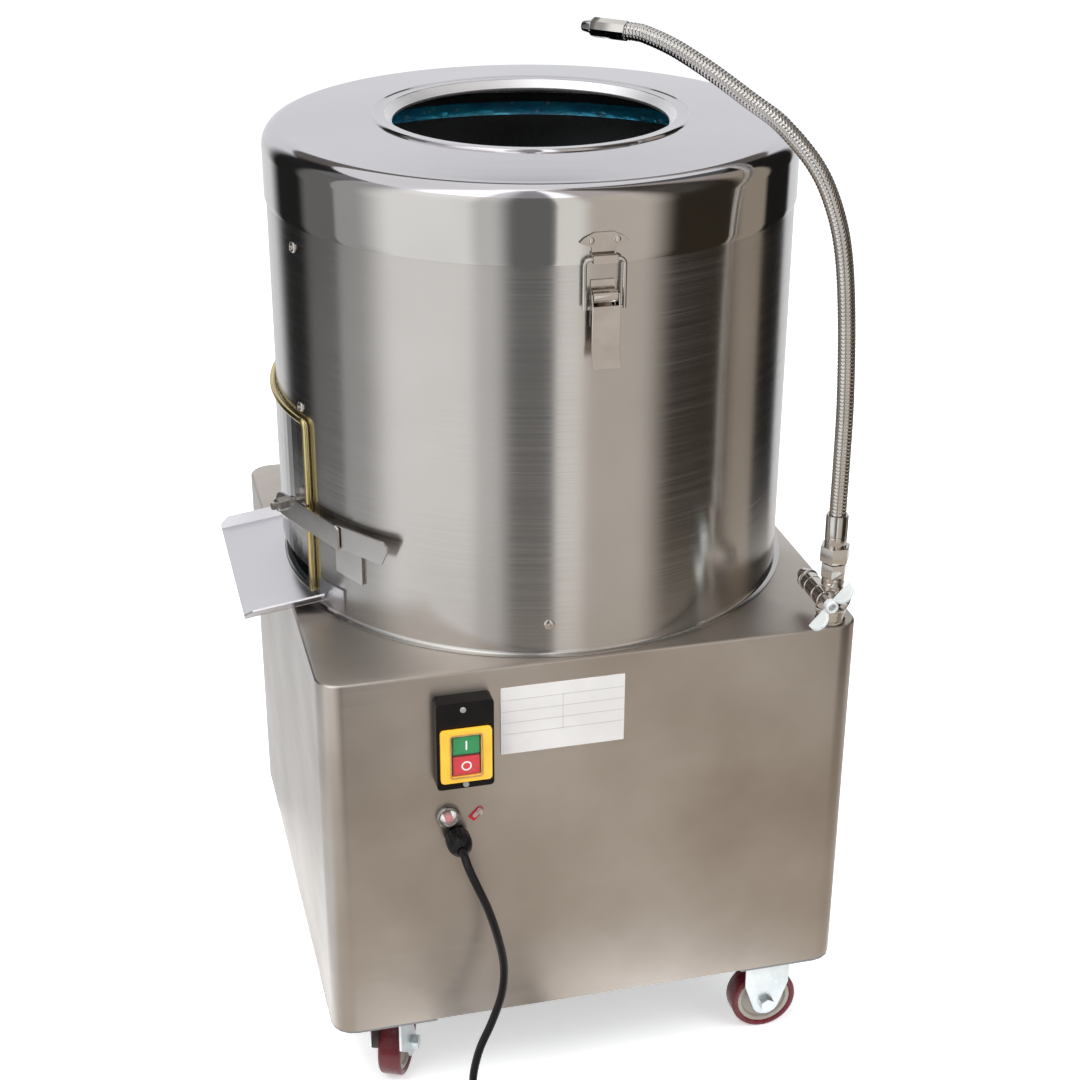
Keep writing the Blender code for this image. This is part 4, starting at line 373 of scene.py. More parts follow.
WHITE_INK = Finish("white_ink", (0.80, 0.80, 0.79), (0.86, 0.86, 0.85), 0.45, 0.05, Grain.MOULDED,
    grain_scale=900.0, patch_scale=60.0)
WHITE_NYLON = Finish("white_nylon", (0.62, 0.65, 0.64), (0.70, 0.73, 0.72), 0.36, 0.06, Grain.MOULDED,
    grain_scale=300.0, grain_depth=0.00002, patch_scale=45.0, transmission=0.15)
CLEAR_FILM = Finish("clear_film", (0.55, 0.50, 0.42), (0.65, 0.60, 0.52), 0.14, 0.04, Grain.MOULDED,
    grain_scale=200.0, grain_depth=0.00003, patch_scale=40.0, alpha=0.03, gloss=0.1)
FILM_RIM = Finish("film_rim", (0.42, 0.26, 0.10), (0.55, 0.36, 0.16), 0.20, 0.05, Grain.MOULDED,
    grain_scale=300.0, grain_depth=0.00002, patch_scale=60.0, alpha=0.62)
CLEAR_DOME = Finish("clear_dome", (0.60, 0.50, 0.48), (0.72, 0.62, 0.60), 0.10, 0.03, Grain.MOULDED,
    grain_scale=300.0, grain_depth=0.00002, patch_scale=60.0, alpha=0.28, coat=0.5)
WINE_TREAD = Finish("wine_tread", (0.115, 0.005, 0.012), (0.16, 0.008, 0.018), 0.30, 0.06, Grain.MOULDED,
    grain_scale=160.0, grain_depth=0.00002, patch_scale=25.0, gloss=0.4)
RIM_PLASTIC = Finish("rim_plastic", (0.34, 0.30, 0.25), (0.42, 0.38, 0.33), 0.42, 0.07, Grain.MOULDED,
    grain_scale=500.0, grain_depth=0.00002, patch_scale=40.0)
PLATE_FACE = Finish("plate_face", (0.61, 0.59, 0.57), (0.67, 0.65, 0.63), 0.46, 0.05, Grain.LEVEL, 0.0,
    grain_depth=0.000003, patch_scale=16.0, gloss=0.3)
PLATE_INK = Finish("plate_ink", (0.36, 0.34, 0.33), (0.42, 0.40, 0.39), 0.55, 0.05, Grain.MOULDED,
    grain_scale=900.0, patch_scale=80.0)
MOTOR_PAINT = Finish("motor_paint", (0.055, 0.10, 0.15), (0.075, 0.13, 0.19), 0.42, 0.08, Grain.CAST,
    grain_scale=260.0, grain_depth=0.00005, patch_scale=14.0, wear=0.5)
PIPE_GREY = Finish("pipe_grey", (0.33, 0.34, 0.35), (0.39, 0.40, 0.41), 0.42, 0.06, Grain.MOULDED,
    grain_scale=600.0, grain_depth=0.00002, patch_scale=18.0)


# Shapes


def plane_at(origin: Place, side: Place, up: Place) -> Matrix:
    """Frame whose X is side and whose Y is up.

    Args:
        origin: Where it stands.
        side: Direction of its X.
        up: Direction of its Y, square to side.

    Returns:
        The matrix.
    """
    side, up = Vector(side).normalized(), Vector(up).normalized()
    turn = Matrix((side, up, side.cross(up))).transposed().to_4x4()
    return Matrix.Translation(Vector(origin)) @ turn


def along_axis(start: Place, end: Place) -> Matrix:
    """Frame that stands at start with its Z toward end.

    Args:
        start: Where it stands.
        end: Point that its Z looks at.

    Returns:
        The matrix.
    """
    out = (Vector(end) - Vector(start)).normalized()
    return Matrix.Translation(Vector(start)) @ out.to_track_quat('Z', 'Y').to_matrix().to_4x4()


def outward(azimuth: float, elevation: float) -> Vector:
    """Direction from a target to what looks at it.

    Args:
        azimuth: Degrees from the machine's front, rising to the right.
        elevation: Degrees above the level.

    Returns:
        Unit vector.
    """
    a, e = math.radians(azimuth), math.radians(elevation)
    return Vector((math.sin(a) * math.cos(e), -math.cos(a) * math.cos(e), math.sin(e)))


def raised(height: float) -> Matrix:
    """Move along Z.

    Args:
        height: How far.

    Returns:
        The matrix.
    """
    return Matrix.Translation((0, 0, height))


def arc(centre: tuple[float, float], radius: float, start: float, end: float, count: int) -> Loop:
    """Points on an arc.

    Args:
        centre: Its middle.
        radius: Its radius.
        start: First angle in degrees.
        end: Last angle in degrees.
        count: How many points.

    Returns:
        List of (x, y).
    """
    angles = [math.radians(start + (end - start) * i / (count - 1)) for i in range(count)]
    return [(centre[0] + radius * math.cos(a), centre[1] + radius * math.sin(a)) for a in angles]


def around(radius: float, degrees: float, height: float) -> Vector:
    """A point round the drum's axis.

    Args:
        radius: Distance from the axis.
        degrees: Angle from the machine's right side.
        height: Height above the floor.

    Returns:
        The point.
    """
    angle = math.radians(degrees)
    return Vector((radius * math.cos(angle), radius * math.sin(angle), height))


def rounded_rectangle(width: float, height: float, radius: float, count: int = 6) -> Loop:
    """Outline of a rectangle with round corners.

    Args:
        width: Along X.
        height: Along Y.
        radius: Of its corners.
        count: Points in each corner.

    Returns:
        List of (x, y).
    """
    x, y = width / 2 - radius, height / 2 - radius
    loop = []
    for cx, cy, start in ((x, y, 0), (-x, y, 90), (-x, -y, 180), (x, -y, 270)):
        loop += arc((cx, cy), radius, start, start + 90, count)
    return loop


def polygon(sides: int, radius: float, turn: float = 0.0) -> Loop:
    """Outline of a regular polygon.

    Args:
        sides: How many.
        radius: To its corners.
        turn: Degrees of the first corner.

    Returns:
        List of (x, y).
    """
    return arc((0, 0), radius, turn, turn + 360 * (sides - 1) / sides, sides)


def smooth_line(route: Sequence[Place], count: int) -> list[Vector]:
    """Evenly spaced points on a smooth curve through a route.

    Args:
        route: Points that it passes.
        count: How many points come back.

    Returns:
        List of vectors.
    """
    knots = [Vector(p) for p in route]
    fine = []
    for i in range(len(knots) - 1):
        before = knots[i - 1] if i > 0 else knots[i] * 2 - knots[i + 1]
        after = knots[i + 2] if i + 2 < len(knots) else knots[i + 1] * 2 - knots[i]
        lead, trail = (knots[i + 1] - before) / 2, (after - knots[i]) / 2
        for k in range(24):
            t = k / 24
            fine.append((2 * t ** 3 - 3 * t ** 2 + 1) * knots[i] + (t ** 3 - 2 * t ** 2 + t) * lead
                        + (3 * t ** 2 - 2 * t ** 3) * knots[i + 1] + (t ** 3 - t ** 2) * trail)
    fine.append(knots[-1])
    lengths = [0.0]
    for a, b in zip(fine, fine[1:]):
        lengths.append(lengths[-1] + (b - a).length)
    points, place = [], 0
    for i in range(count):
        wanted = lengths[-1] * i / (count - 1)
        while place < len(fine) - 2 and lengths[place + 1] < wanted:
            place += 1
        share = (wanted - lengths[place]) / max(lengths[place + 1] - lengths[place], 1e-9)
        points.append(fine[place].lerp(fine[place + 1], min(share, 1.0)))
    return points


def baked(obj: bpy.types.Object) -> bpy.types.Mesh:
    """Mesh of an object with its modifiers, which leaves the scene.

    Args:
        obj: A mesh or curve object.

    Returns:
        The mesh.
    """
    bpy.context.view_layer.update()
    mesh = bpy.data.meshes.new_from_object(obj.evaluated_get(bpy.context.evaluated_depsgraph_get()))
    bpy.data.objects.remove(obj)
    return mesh


def linked(name: str, data: bpy.types.ID, location: Place = (0, 0, 0)) -> bpy.types.Object:
    """A new object in the scene.

    Args:
        name: Its name.
        data: Its mesh or curve.
        location: Where it stands.

    Returns:
        The object.
    """
    obj = bpy.data.objects.new(name, data)
    obj.location = location
    bpy.context.scene.collection.objects.link(obj)
    return obj


def thickened(mesh: bpy.types.Mesh, thickness: float) -> bpy.types.Mesh:
    """Sheet of a thickness inside a surface.

    Args:
        mesh: The outer surface.
        thickness: Of the sheet.

    Returns:
        The sheet's mesh.
    """
    shell = linked("shell", mesh)
    wall = shell.modifiers.new("wall", 'SOLIDIFY')
    wall.thickness, wall.offset, wall.use_even_offset = thickness, -1, True
    return baked(shell)


def from_bmesh(bm: bmesh.types.BMesh) -> bpy.types.Mesh:
    """Mesh of a bmesh, which is freed.

    Args:
        bm: The bmesh.

    Returns:
        The mesh.
    """
    mesh = bpy.data.meshes.new("shape")
    bm.to_mesh(mesh)
    bm.free()
    return mesh


def turned(outline: Loop, steps: int = 96, closed: bool = False, flutes: int = 0, flute_depth: float = 0.0,
           fluted: Sequence[int] = ()) -> bpy.types.Mesh:
    """Turned shape round Z.

    Args:
        outline: Points as (radius, height).
        steps: Sides round the axis.
        closed: Whether the last point joins the first.
        flutes: Grips round the shape.
        flute_depth: Their depth.
        fluted: Indices of the outline's points that carry the grips.

    Returns:
        The mesh.
    """
    bm = bmesh.new()
    rings = []
    for index, (radius, height) in enumerate(outline):
        if radius < 1e-6:
            rings.append([bm.verts.new((0, 0, height))] * steps)
            continue
        ring = []
        for i in range(steps):
            a = 2 * math.pi * i / steps
            r = radius
            if flutes and index in fluted:
                r -= flute_depth * (0.5 + 0.5 * math.cos(flutes * a)) ** 3
            ring.append(bm.verts.new((r * math.cos(a), r * math.sin(a), height)))
        rings.append(ring)
    pairs = list(zip(rings, rings[1:]))
    if closed:
        pairs.append((rings[-1], rings[0]))
    for first, second in pairs:
        for i in range(steps):
            k = (i + 1) % steps
            corners = []
            for vert in (first[i], first[k], second[k], second[i]):
                if vert not in corners:
                    corners.append(vert)
            if len(corners) > 2:
                bm.faces.new(corners)
    bmesh.ops.recalc_face_normals(bm, faces=bm.faces)
    return from_bmesh(bm)


def slab(loops: list[Loop], depth: float, edge: float = 0.0) -> bpy.types.Mesh:
    """Flat plate with holes, in the XY plane and centred on it.

    Args:
        loops: Outer outline and holes.
        depth: Thickness.
        edge: Width of its eased edges.

    Returns:
        The mesh.
    """
    curve = bpy.data.curves.new("plate", 'CURVE')
    curve.dimensions = '2D'
    curve.fill_mode = 'BOTH'
    curve.extrude = depth / 2 - edge
    curve.bevel_depth = edge
    curve.bevel_resolution = 1
    curve.offset = -edge
    for loop in loops:
        line = curve.splines.new('POLY')
        line.points.add(len(loop) - 1)
        line.use_cyclic_u = True
        for point, (x, y) in zip(line.points, loop):
            point.co = (x, y, 0, 1)
    return baked(linked("plate", curve))


def swept(points: Sequence[Place], radius: float | Callable[[int, float], float],
          steps: int = 24) -> bpy.types.Mesh:
    """Round bar along a line, closed at both ends.

    Args:
        points: Its centre line.
        radius: Its radius, or a function of a point's index and the share of a turn round it.
        steps: Sides.

    Returns:
        The mesh.
    """
    points = [Vector(p) for p in points]
    at = radius if callable(radius) else lambda step, share: radius
    bm = bmesh.new()
    ahead = (points[1] - points[0]).normalized()
    side = ahead.orthogonal().normalized()
    rings = []
    for i, point in enumerate(points):
        span = points[min(i + 1, len(points) - 1)] - points[max(i - 1, 0)]
        if span.length > 1e-9:
            ahead = span.normalized()
        side = (side - ahead * side.dot(ahead)).normalized()
        other = ahead.cross(side)
        ring = []
        for k in range(steps):
            a = 2 * math.pi * k / steps
            ring.append(bm.verts.new(point + (side * math.cos(a) + other * math.sin(a)) * at(i, k / steps)))
        rings.append(ring)
    for first, second in zip(rings, rings[1:]):
        for i in range(steps):
            k = (i + 1) % steps
            bm.faces.new((first[i], first[k], second[k], second[i]))
    bm.faces.new(rings[0][::-1])
    bm.faces.new(rings[-1])
    bmesh.ops.recalc_face_normals(bm, faces=bm.faces)
    return from_bmesh(bm)


def bar(radius: float, length: float, ease: float = 0.0004, steps: int = 32,
        sides: int = 0) -> bpy.types.Mesh:
    """Round or polygonal bar from the origin along Z with eased ends.

    Args:
        radius: Its radius, to the corners of a polygon.
        length: Its length.
        ease: Width of the eased end edges.
        steps: Sides of a round bar.
        sides: Sides of a polygonal one, or 0.

    Returns:
        The mesh.
    """
    if sides:
        return placed(slab([polygon(sides, radius)], length, ease), raised(length / 2))
    outline = [(0, 0), (radius - ease, 0), (radius, ease), (radius, length - ease), (radius - ease, length)]
    return turned(outline + [(0, length)], steps)


def domed(radius: float, height: float, steps: int = 24) -> bpy.types.Mesh:
    """Low rivet or screw head from the origin along Z.

    Args:
        radius: Its radius.
        height: Its height.
        steps: Sides.

    Returns:
        The mesh.
    """
    outline = [(0, 0), (radius, 0)]
    outline += [(radius * math.cos(a), height * (0.25 + 0.75 * math.sin(a)))
                for a in (math.pi / 2 * i / 6 for i in range(6))]
    outline.append((0, height))
    return turned(outline, steps)


@dataclass
class Piece:
    """One visible piece, gathered from shapes that may differ in finish."""

    name: str
    finishes: list = field(default_factory=list)
    mesh: bmesh.types.BMesh = field(default_factory=bmesh.new)

    def add(self, shape: bpy.types.Mesh, finish: Finish, matrix: Matrix = Matrix.Identity(4)) -> "Piece":
        """Adds a shape.

        Args:
            shape: Its mesh.
            finish: Its finish.
            matrix: Where it goes.

        Returns:
            This piece.
        """
        if finish not in self.finishes:
            self.finishes.append(finish)
        known_verts, known_faces = len(self.mesh.verts), len(self.mesh.faces)
        self.mesh.from_mesh(shape)
        self.mesh.verts.ensure_lookup_table()
        self.mesh.faces.ensure_lookup_table()
        bmesh.ops.transform(self.mesh, matrix=matrix, verts=self.mesh.verts[known_verts:])
        for face in self.mesh.faces[known_faces:]:
            face.material_index = self.finishes.index(finish)
        return self

    def done(self, body: str, *nodes: str, angle: float = 32.0,
             split: Callable[[Vector], int] | None = None) -> bpy.types.Object:
        """Puts the piece into the scene on its body.

        Args:
            body: The body that it rides on.
            nodes: The model's nodes that it stands for.
            angle: Edges sharper than this many degrees stay sharp.
            split: Function of a face's centre that gives its finish's index.

        Returns:
            The object.
        """
        if split:
            for face in self.mesh.faces:
                face.material_index = split(face.calc_center_median())
        mesh = from_bmesh(self.mesh)
        mesh.name = self.name
        for finish in self.finishes:
            mesh.materials.append(finish.material())
        mesh.polygons.foreach_set("use_smooth", [True] * len(mesh.polygons))
        mesh.set_sharp_from_angle(angle=math.radians(angle))
        obj = linked(self.name, mesh, AXIS)
        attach(obj, body)
        if nodes:
            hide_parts(*nodes)
        log.info("%s on %s", self.name, body)
        return obj


def cut_out(mesh: bpy.types.Mesh, *cutters: bpy.types.Mesh) -> bpy.types.Mesh:
    """Takes shapes out of a mesh.

    Args:
        mesh: What is cut.
        cutters: Meshes in the same frame.

    Returns:
        The cut mesh.
    """
    target = linked("cut", mesh)
    tools = []
    for cutter in cutters:
        tool = linked("tool", cutter)
        step = target.modifiers.new("cut", 'BOOLEAN')
        step.operation = 'DIFFERENCE'
        step.solver = 'EXACT'
        step.object = tool
        tools.append(tool)
    result = baked(target)
    for tool in tools:
        bpy.data.objects.remove(tool)
    return result


def placed(mesh: bpy.types.Mesh, matrix: Matrix) -> bpy.types.Mesh:
    """A mesh moved to its place.

    Args:
        mesh: The mesh.
        matrix: Where it goes.

    Returns:
        The same mesh.
    """
    mesh.transform(matrix)
    return mesh


def dress(finish: Finish, *nodes: str, ease: float = 0.0) -> None:
    """Gives nodes of the model a finish, and eases their edges.

    Args:
        finish: The finish.
        nodes: Names of the nodes.
        ease: Width of the eased edges, or 0.
    """
    for name in nodes:
        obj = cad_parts[name]
        if not obj.material_slots:
            obj.data.materials.append(finish.material())
        for slot in obj.material_slots:
            slot.link = 'OBJECT'
            slot.material = finish.material()
        if ease:
            weld = obj.modifiers.new("weld", 'WELD')
            weld.merge_threshold = WELD_DISTANCE
            bevel = obj.modifiers.new("ease", 'BEVEL')
            bevel.width = ease
            bevel.segments = 2
            bevel.limit_method = 'ANGLE'
            bevel.angle_limit = math.radians(EASED_ANGLE)
            bevel.harden_normals = True
        log.info("%s dressed as %s", name, finish.name)


# Sub-assemblies


@dataclass
class Cabinet:
    """Sheet box with the painted frame inside."""

    width: float = 0.560
    low: float = 0.110
    high: float = 0.526
    sheet: float = 0.0015
    corner: float = 0.025
    edge: float = 0.003
    well: float = 0.240
    front_holes: tuple = ((-0.147, 0.340, 0.0081), (-0.155, 0.3636, 0.0090))
    drain_hole: tuple = (0, 0.456, 0.0248)

    def hole(self, spot: Triple, way: int) -> bpy.types.Mesh:
        """Shape that opens a round hole in the front or back sheet.

        Args:
            spot: The hole's X, its height and its radius.
            way: -1 for the front, 1 for the back.

        Returns:
            The cutter's mesh.
        """
        x, z, radius = spot
        face, half = way * self.width / 2, CUTTER_DEPTH / 2
        line = along_axis((x, face - way * half, z), (x, face + way * half, z))
        return placed(bar(radius, CUTTER_DEPTH, 0), line)

    def build(self) -> None:
        """Builds the sheet box and dresses the frame."""
        bm = bmesh.new()
        bmesh.ops.create_cube(bm, size=1.0)
        tall = self.high - self.low
        bmesh.ops.scale(bm, vec=(self.width, self.width, tall), verts=bm.verts)
        upright = [e for e in bm.edges if abs(e.verts[0].co.z - e.verts[1].co.z) > tall / 2]
        bmesh.ops.bevel(bm, geom=upright, offset=self.corner, segments=12, profile=0.5, affect='EDGES')
        upper = [e for e in bm.edges if min(v.co.z for v in e.verts) > 0]
        bmesh.ops.bevel(bm, geom=upper, offset=self.edge, segments=4, profile=0.5, affect='EDGES')
        bmesh.ops.delete(bm, geom=[f for f in bm.faces if max(v.co.z for v in f.verts) < 0], context='FACES')
        bmesh.ops.translate(bm, vec=(0, 0, (self.low + self.high) / 2), verts=bm.verts)
        sheet = thickened(from_bmesh(bm), self.sheet)
        well = placed(bar(self.well, CUTTER_DEPTH, 0, 160), raised(self.high - CUTTER_DEPTH / 2))
        holes = [self.hole(spot, -1) for spot in self.front_holes] + [self.hole(self.drain_hole, 1)]
        mesh = cut_out(sheet, well, *holes)
        Piece("cabinet_sheet").add(mesh, CABINET_STEEL).done("cabinet", "cabinet_shell", angle=20)
        dress(PAINTED_STEEL, "base_frame", ease=0.0004)


@dataclass
class Drum:
    """Rolled drum with its grit lining, floor and turntable."""

    radius: float = 0.270
    wall: float = 0.0015
    low: float = BASE
    high: float = 0.970
    lining: float = 0.0035
    ledge: float = 0.0012
    lining_low: float = 0.0026
    lining_top: float = 0.006
    foot: float = 0.0065
    foot_height: float = 0.0037
    weld: float = 0.0008
    # Heights of the lining's ledge, and of the band at its top that is painted as a teal reflection
    reflection_band_low: float = 0.939
    reflection_band_high: float = 0.9535
    door_half: float = 0.079
    door_low: float = 0.540
    door_high: float = 0.722
    door_corner: float = 0.010
    screw_places: tuple = ((197.3, 0.904), (197.3, 0.738), (144.0, 0.904), (144.0, 0.660), (20.0, 0.904),
                           (20.0, 0.660), (-100.0, 0.560))

    def doorway(self) -> bpy.types.Mesh:
        """Shape that opens the doorway.

        Returns:
            The cutter's mesh.
        """
        loop = rounded_rectangle(2 * self.door_half, self.door_high - self.door_low, self.door_corner, 8)
        middle = (self.door_low + self.door_high) / 2
        return placed(slab([loop], 0.05), plane_at((-0.262, 0, middle), (0, 1, 0), (0, 0, 1)))

    def build(self) -> None:
        """Builds wall and lining, and dresses what they hold."""
        inner = self.radius - self.wall
        outline = [(self.radius, self.high - 0.0006), (self.radius - 0.0006, self.high), (inner, self.high)]
        outline += [(inner, self.low), (self.radius + self.foot, self.low)]
        outline += [(self.radius + self.foot, self.low + self.weld)]
        centre = (self.radius + self.foot, self.low + self.weld + self.foot_height)
        bead = arc(centre, self.foot_height, -90, -180, 8)
        outline += [(max(r - self.foot + self.foot_height, self.radius), z) for r, z in bead[1:]]
        wall = cut_out(turned(outline, 240, closed=True), self.doorway())
        Piece("drum_sheet").add(wall, DRUM_STEEL).done("cabinet", "drum_shell", angle=25)
        outer = inner - GAP
        bore, ridge = outer - self.lining, self.ledge
        low, top = self.low + self.lining_low, self.high - self.lining_top
        lining = [(outer, top), (outer, low), (bore, low), (bore, self.reflection_band_low),
                  (bore + ridge * 0.4, self.reflection_band_low + ridge),
                  (bore + ridge * 0.4, self.reflection_band_high - ridge), (bore - 0.0003, self.reflection_band_high),
                  (bore + ridge, self.reflection_band_high + 0.0007), (bore + ridge, top)]
        mesh = cut_out(turned(lining, 240, closed=True), self.doorway())
        # The band at the top of the lining takes the painted teal reflection and painted glints
        piece = Piece("grit_lining", [GRIT, TEAL_REFLECTION_GRIT]).add(mesh, GRIT)
        piece.done("cabinet", "abrasive_liner", angle=25, split=self.in_reflection_band)
        dress(FITTING_STEEL, "drum_floor")
        dress(GRIT, "turntable_disc")
        self.screws()

    def in_reflection_band(self, centre: Vector) -> int:
        """Which finish the lining has at a place.

        Args:
            centre: The place.

        Returns:
            One in the band at the top that is painted as a teal reflection, and zero elsewhere.
        """
        inside = centre.xy.length < self.radius - 0.004
        return int(self.reflection_band_low < centre.z < self.reflection_band_high + 0.001 and inside)

    def screws(self) -> None:
        """Screw ends that hold the lining, and one low on the front."""
        piece = Piece("lining_screws")
        for degrees, height in self.screw_places:
            place = along_axis(around(self.radius - 0.0002, degrees, height), around(0.4, degrees, height))
            piece.add(domed(0.0055, 0.0022), NICKEL, place)
            piece.add(bar(0.0022, 0.0042, 0.0003, 16), NICKEL, place)
        piece.done("cabinet")


@dataclass
class Lid:
    """Pressed lid with a beaded mouth."""

    radius: float = LID_RADIUS
    wall: float = 0.0012
    seam: float = LID_SEAM
    shoulder: float = 0.020
    edge_height: float = 0.998
    mouth_height: float = 1.006
    mouth: float = 0.1405
    turn_down: float = 0.0120
    throat: float = 0.0030
    funnel: float = 0.0070
    lip: float = 0.0014
    shelf_drop: float = 0.0011
    bead: float = 0.1606
    bead_half: float = 0.0021
    bead_drop: float = 0.0026

    def outline(self) -> Loop:
        """Outer line of the lid, from the mouth's inner edge to the foot of the skirt.

        Returns:
            List of (radius, height).
        """
        shelf = self.mouth_height - self.shelf_drop
        neck = self.mouth + self.funnel
        foot = self.mouth_height - self.turn_down
        points = [(self.mouth + 0.0006, foot), (self.mouth, foot + 0.0010), (self.mouth, foot + self.throat)]
        points += arc((neck + self.lip, shelf - self.lip), self.lip, 140, 90, 6)
        points.append((self.bead - self.bead_half, shelf))
        for i in range(1, 10):
            t = i / 10
            base = shelf - (self.bead_drop - self.shelf_drop) * t
            points.append((self.bead + self.bead_half * (2 * t - 1),
                           base + (self.mouth_height - base) * math.sin(math.pi * t) ** 1.3))
        outside = self.mouth_height - self.bead_drop
        points.append((self.bead + self.bead_half, outside))
        top = self.radius - self.shoulder
        points += [(self.bead + self.bead_half + (top - self.bead - self.bead_half) * t,
                    outside + (self.edge_height - outside) * t) for t in (0.25, 0.5, 0.75, 0.93)]
        points += arc((top, self.edge_height - self.shoulder), self.shoulder, 90, 0, 20)
        points += [(self.radius, self.seam + 0.006), (self.radius, self.seam + 0.0012)]
        points += [(self.radius - 0.0002, self.seam)]
        return points

    def build(self) -> None:
        """Builds the lid and dresses its gasket."""
        shell = thickened(turned(self.outline(), 288), self.wall)
        split_height = self.edge_height - self.shoulder * 0.45
        neck = self.mouth + self.funnel
        piece = Piece("lid_pressing", [LID_STEEL, SKIRT_STEEL, PAINTED_BRIGHT_MOUTH_STEEL]).add(shell, LID_STEEL)
        # Faces inside the neck take the mouth's steel, painted lighter as a reflection; the skirt below the
        # shoulder takes its own steel
        piece.done("lid", "lid_cover", angle=40,
                   split=lambda c: 2 if c.xy.length < neck else 0 if c.z > split_height else 1)
        dress(RUBBER, "lid_gasket")


@dataclass
class ToggleLatch:
    """Plated toggle latch at the front or the rear of the lid."""

    end: End
    plate: float = 0.0015
    knuckle: float = 0.0072
    hook: float = 0.0025
    wire: float = 0.002
    bail_half: float = 0.019
    bail_length: float = 0.0475
    bail_corner: float = 0.006
    rivet_half: float = 0.0125
    rivet_rise: float = 0.0228

    def place(self) -> Matrix:
        """Frame of the latch: -Y points out of the drum.

        Returns:
            The matrix.
        """
        return Matrix.Rotation(0.0 if self.end is End.FRONT else math.pi, 4, 'Z')

    def build(self) -> None:
        """Dresses the plates and lever, and builds bail and rivets."""
        side = self.end.name.lower()
        dress(NICKEL, side + "_latch_keeper", side + "_latch_base", side + "_latch_lever", ease=0.0003)
        face = LID_RADIUS + GAP + self.plate
        out, high = face + self.knuckle / 2, LID_SEAM + self.hook + self.plate + GAP + self.wire
        bend, half = self.bail_corner, self.bail_half
        line = [(-half, 0, -self.bail_length), (-half, 0, -self.bail_length / 2)]
        line += [(x, 0, z) for x, z in arc((-half + bend, -bend), bend, 180, 90, 8)]
        line += [(x, 0, z) for x, z in arc((half - bend, -bend), bend, 90, 0, 8)]
        line += [(half, 0, -self.bail_length / 2), (half, 0, -self.bail_length)]
        bail = Piece(side + "_bail_wire")
        spot = self.place() @ Matrix.Translation((0, -out, high))
        bail.add(swept(line, self.wire, 20), BRIGHT_NICKEL, spot)
        bail.done(side + "_bail", side + "_latch_bail")
        rivets = Piece(side + "_keeper_rivets")
        level = LID_SEAM + self.rivet_rise
        for x in (-self.rivet_half, self.rivet_half):
            spot = along_axis((x, -face + 0.0001, level), (x, -1, level))
            rivets.add(domed(0.0033, 0.0014), BRIGHT_NICKEL, self.place() @ spot)
        rivets.done("lid")


@dataclass
class Doorway:
    """Discharge door with its hinge, rod, lever, keeper and tray."""

    rod: float = 0.00325
    rod_centre: float = 0.27385
    rod_bend: float = 0.006
    front_angle: float = 200.5
    rear_angle: float = 159.5
    foot: float = 0.5405
    top: float = 0.72695

    def rod_line(self) -> list[Vector]:
        """Centre line of the rod: up the doorway's front edge, over its top and down to the hinge.

        Returns:
            List of points.
        """
        turn = math.degrees(self.rod_bend / self.rod_centre)
        middle = (self.foot + self.top) / 2
        line = [around(self.rod_centre, self.front_angle, z) for z in (self.foot, middle)]
        for x, z in arc((0, -self.rod_bend), self.rod_bend, 180, 90, 8):
            angle = self.front_angle - turn * (1 + x / self.rod_bend)
            line.append(around(self.rod_centre, angle, self.top + z))
        for i in range(1, 24):
            share = i / 24
            span = self.front_angle - self.rear_angle - turn
            line.append(around(self.rod_centre, self.front_angle - turn - span * share, self.top))
        line.append(around(self.rod_centre, self.rear_angle, self.top))
        return line

    def build(self) -> None:
        """Builds the rod and dresses the sheet pieces."""
        rod = Piece("doorway_rod").add(swept(self.rod_line(), self.rod, 20), YELLOW_ZINC)
        rod.done("cabinet", "door_frame_rod")
        dress(DRUM_STEEL, "discharge_door", "door_hinge", ease=0.0002)
        dress(FITTING_STEEL, "door_lever", "door_keeper", ease=0.0003)
        dress(SHEET_STEEL, "discharge_tray", ease=0.0003)


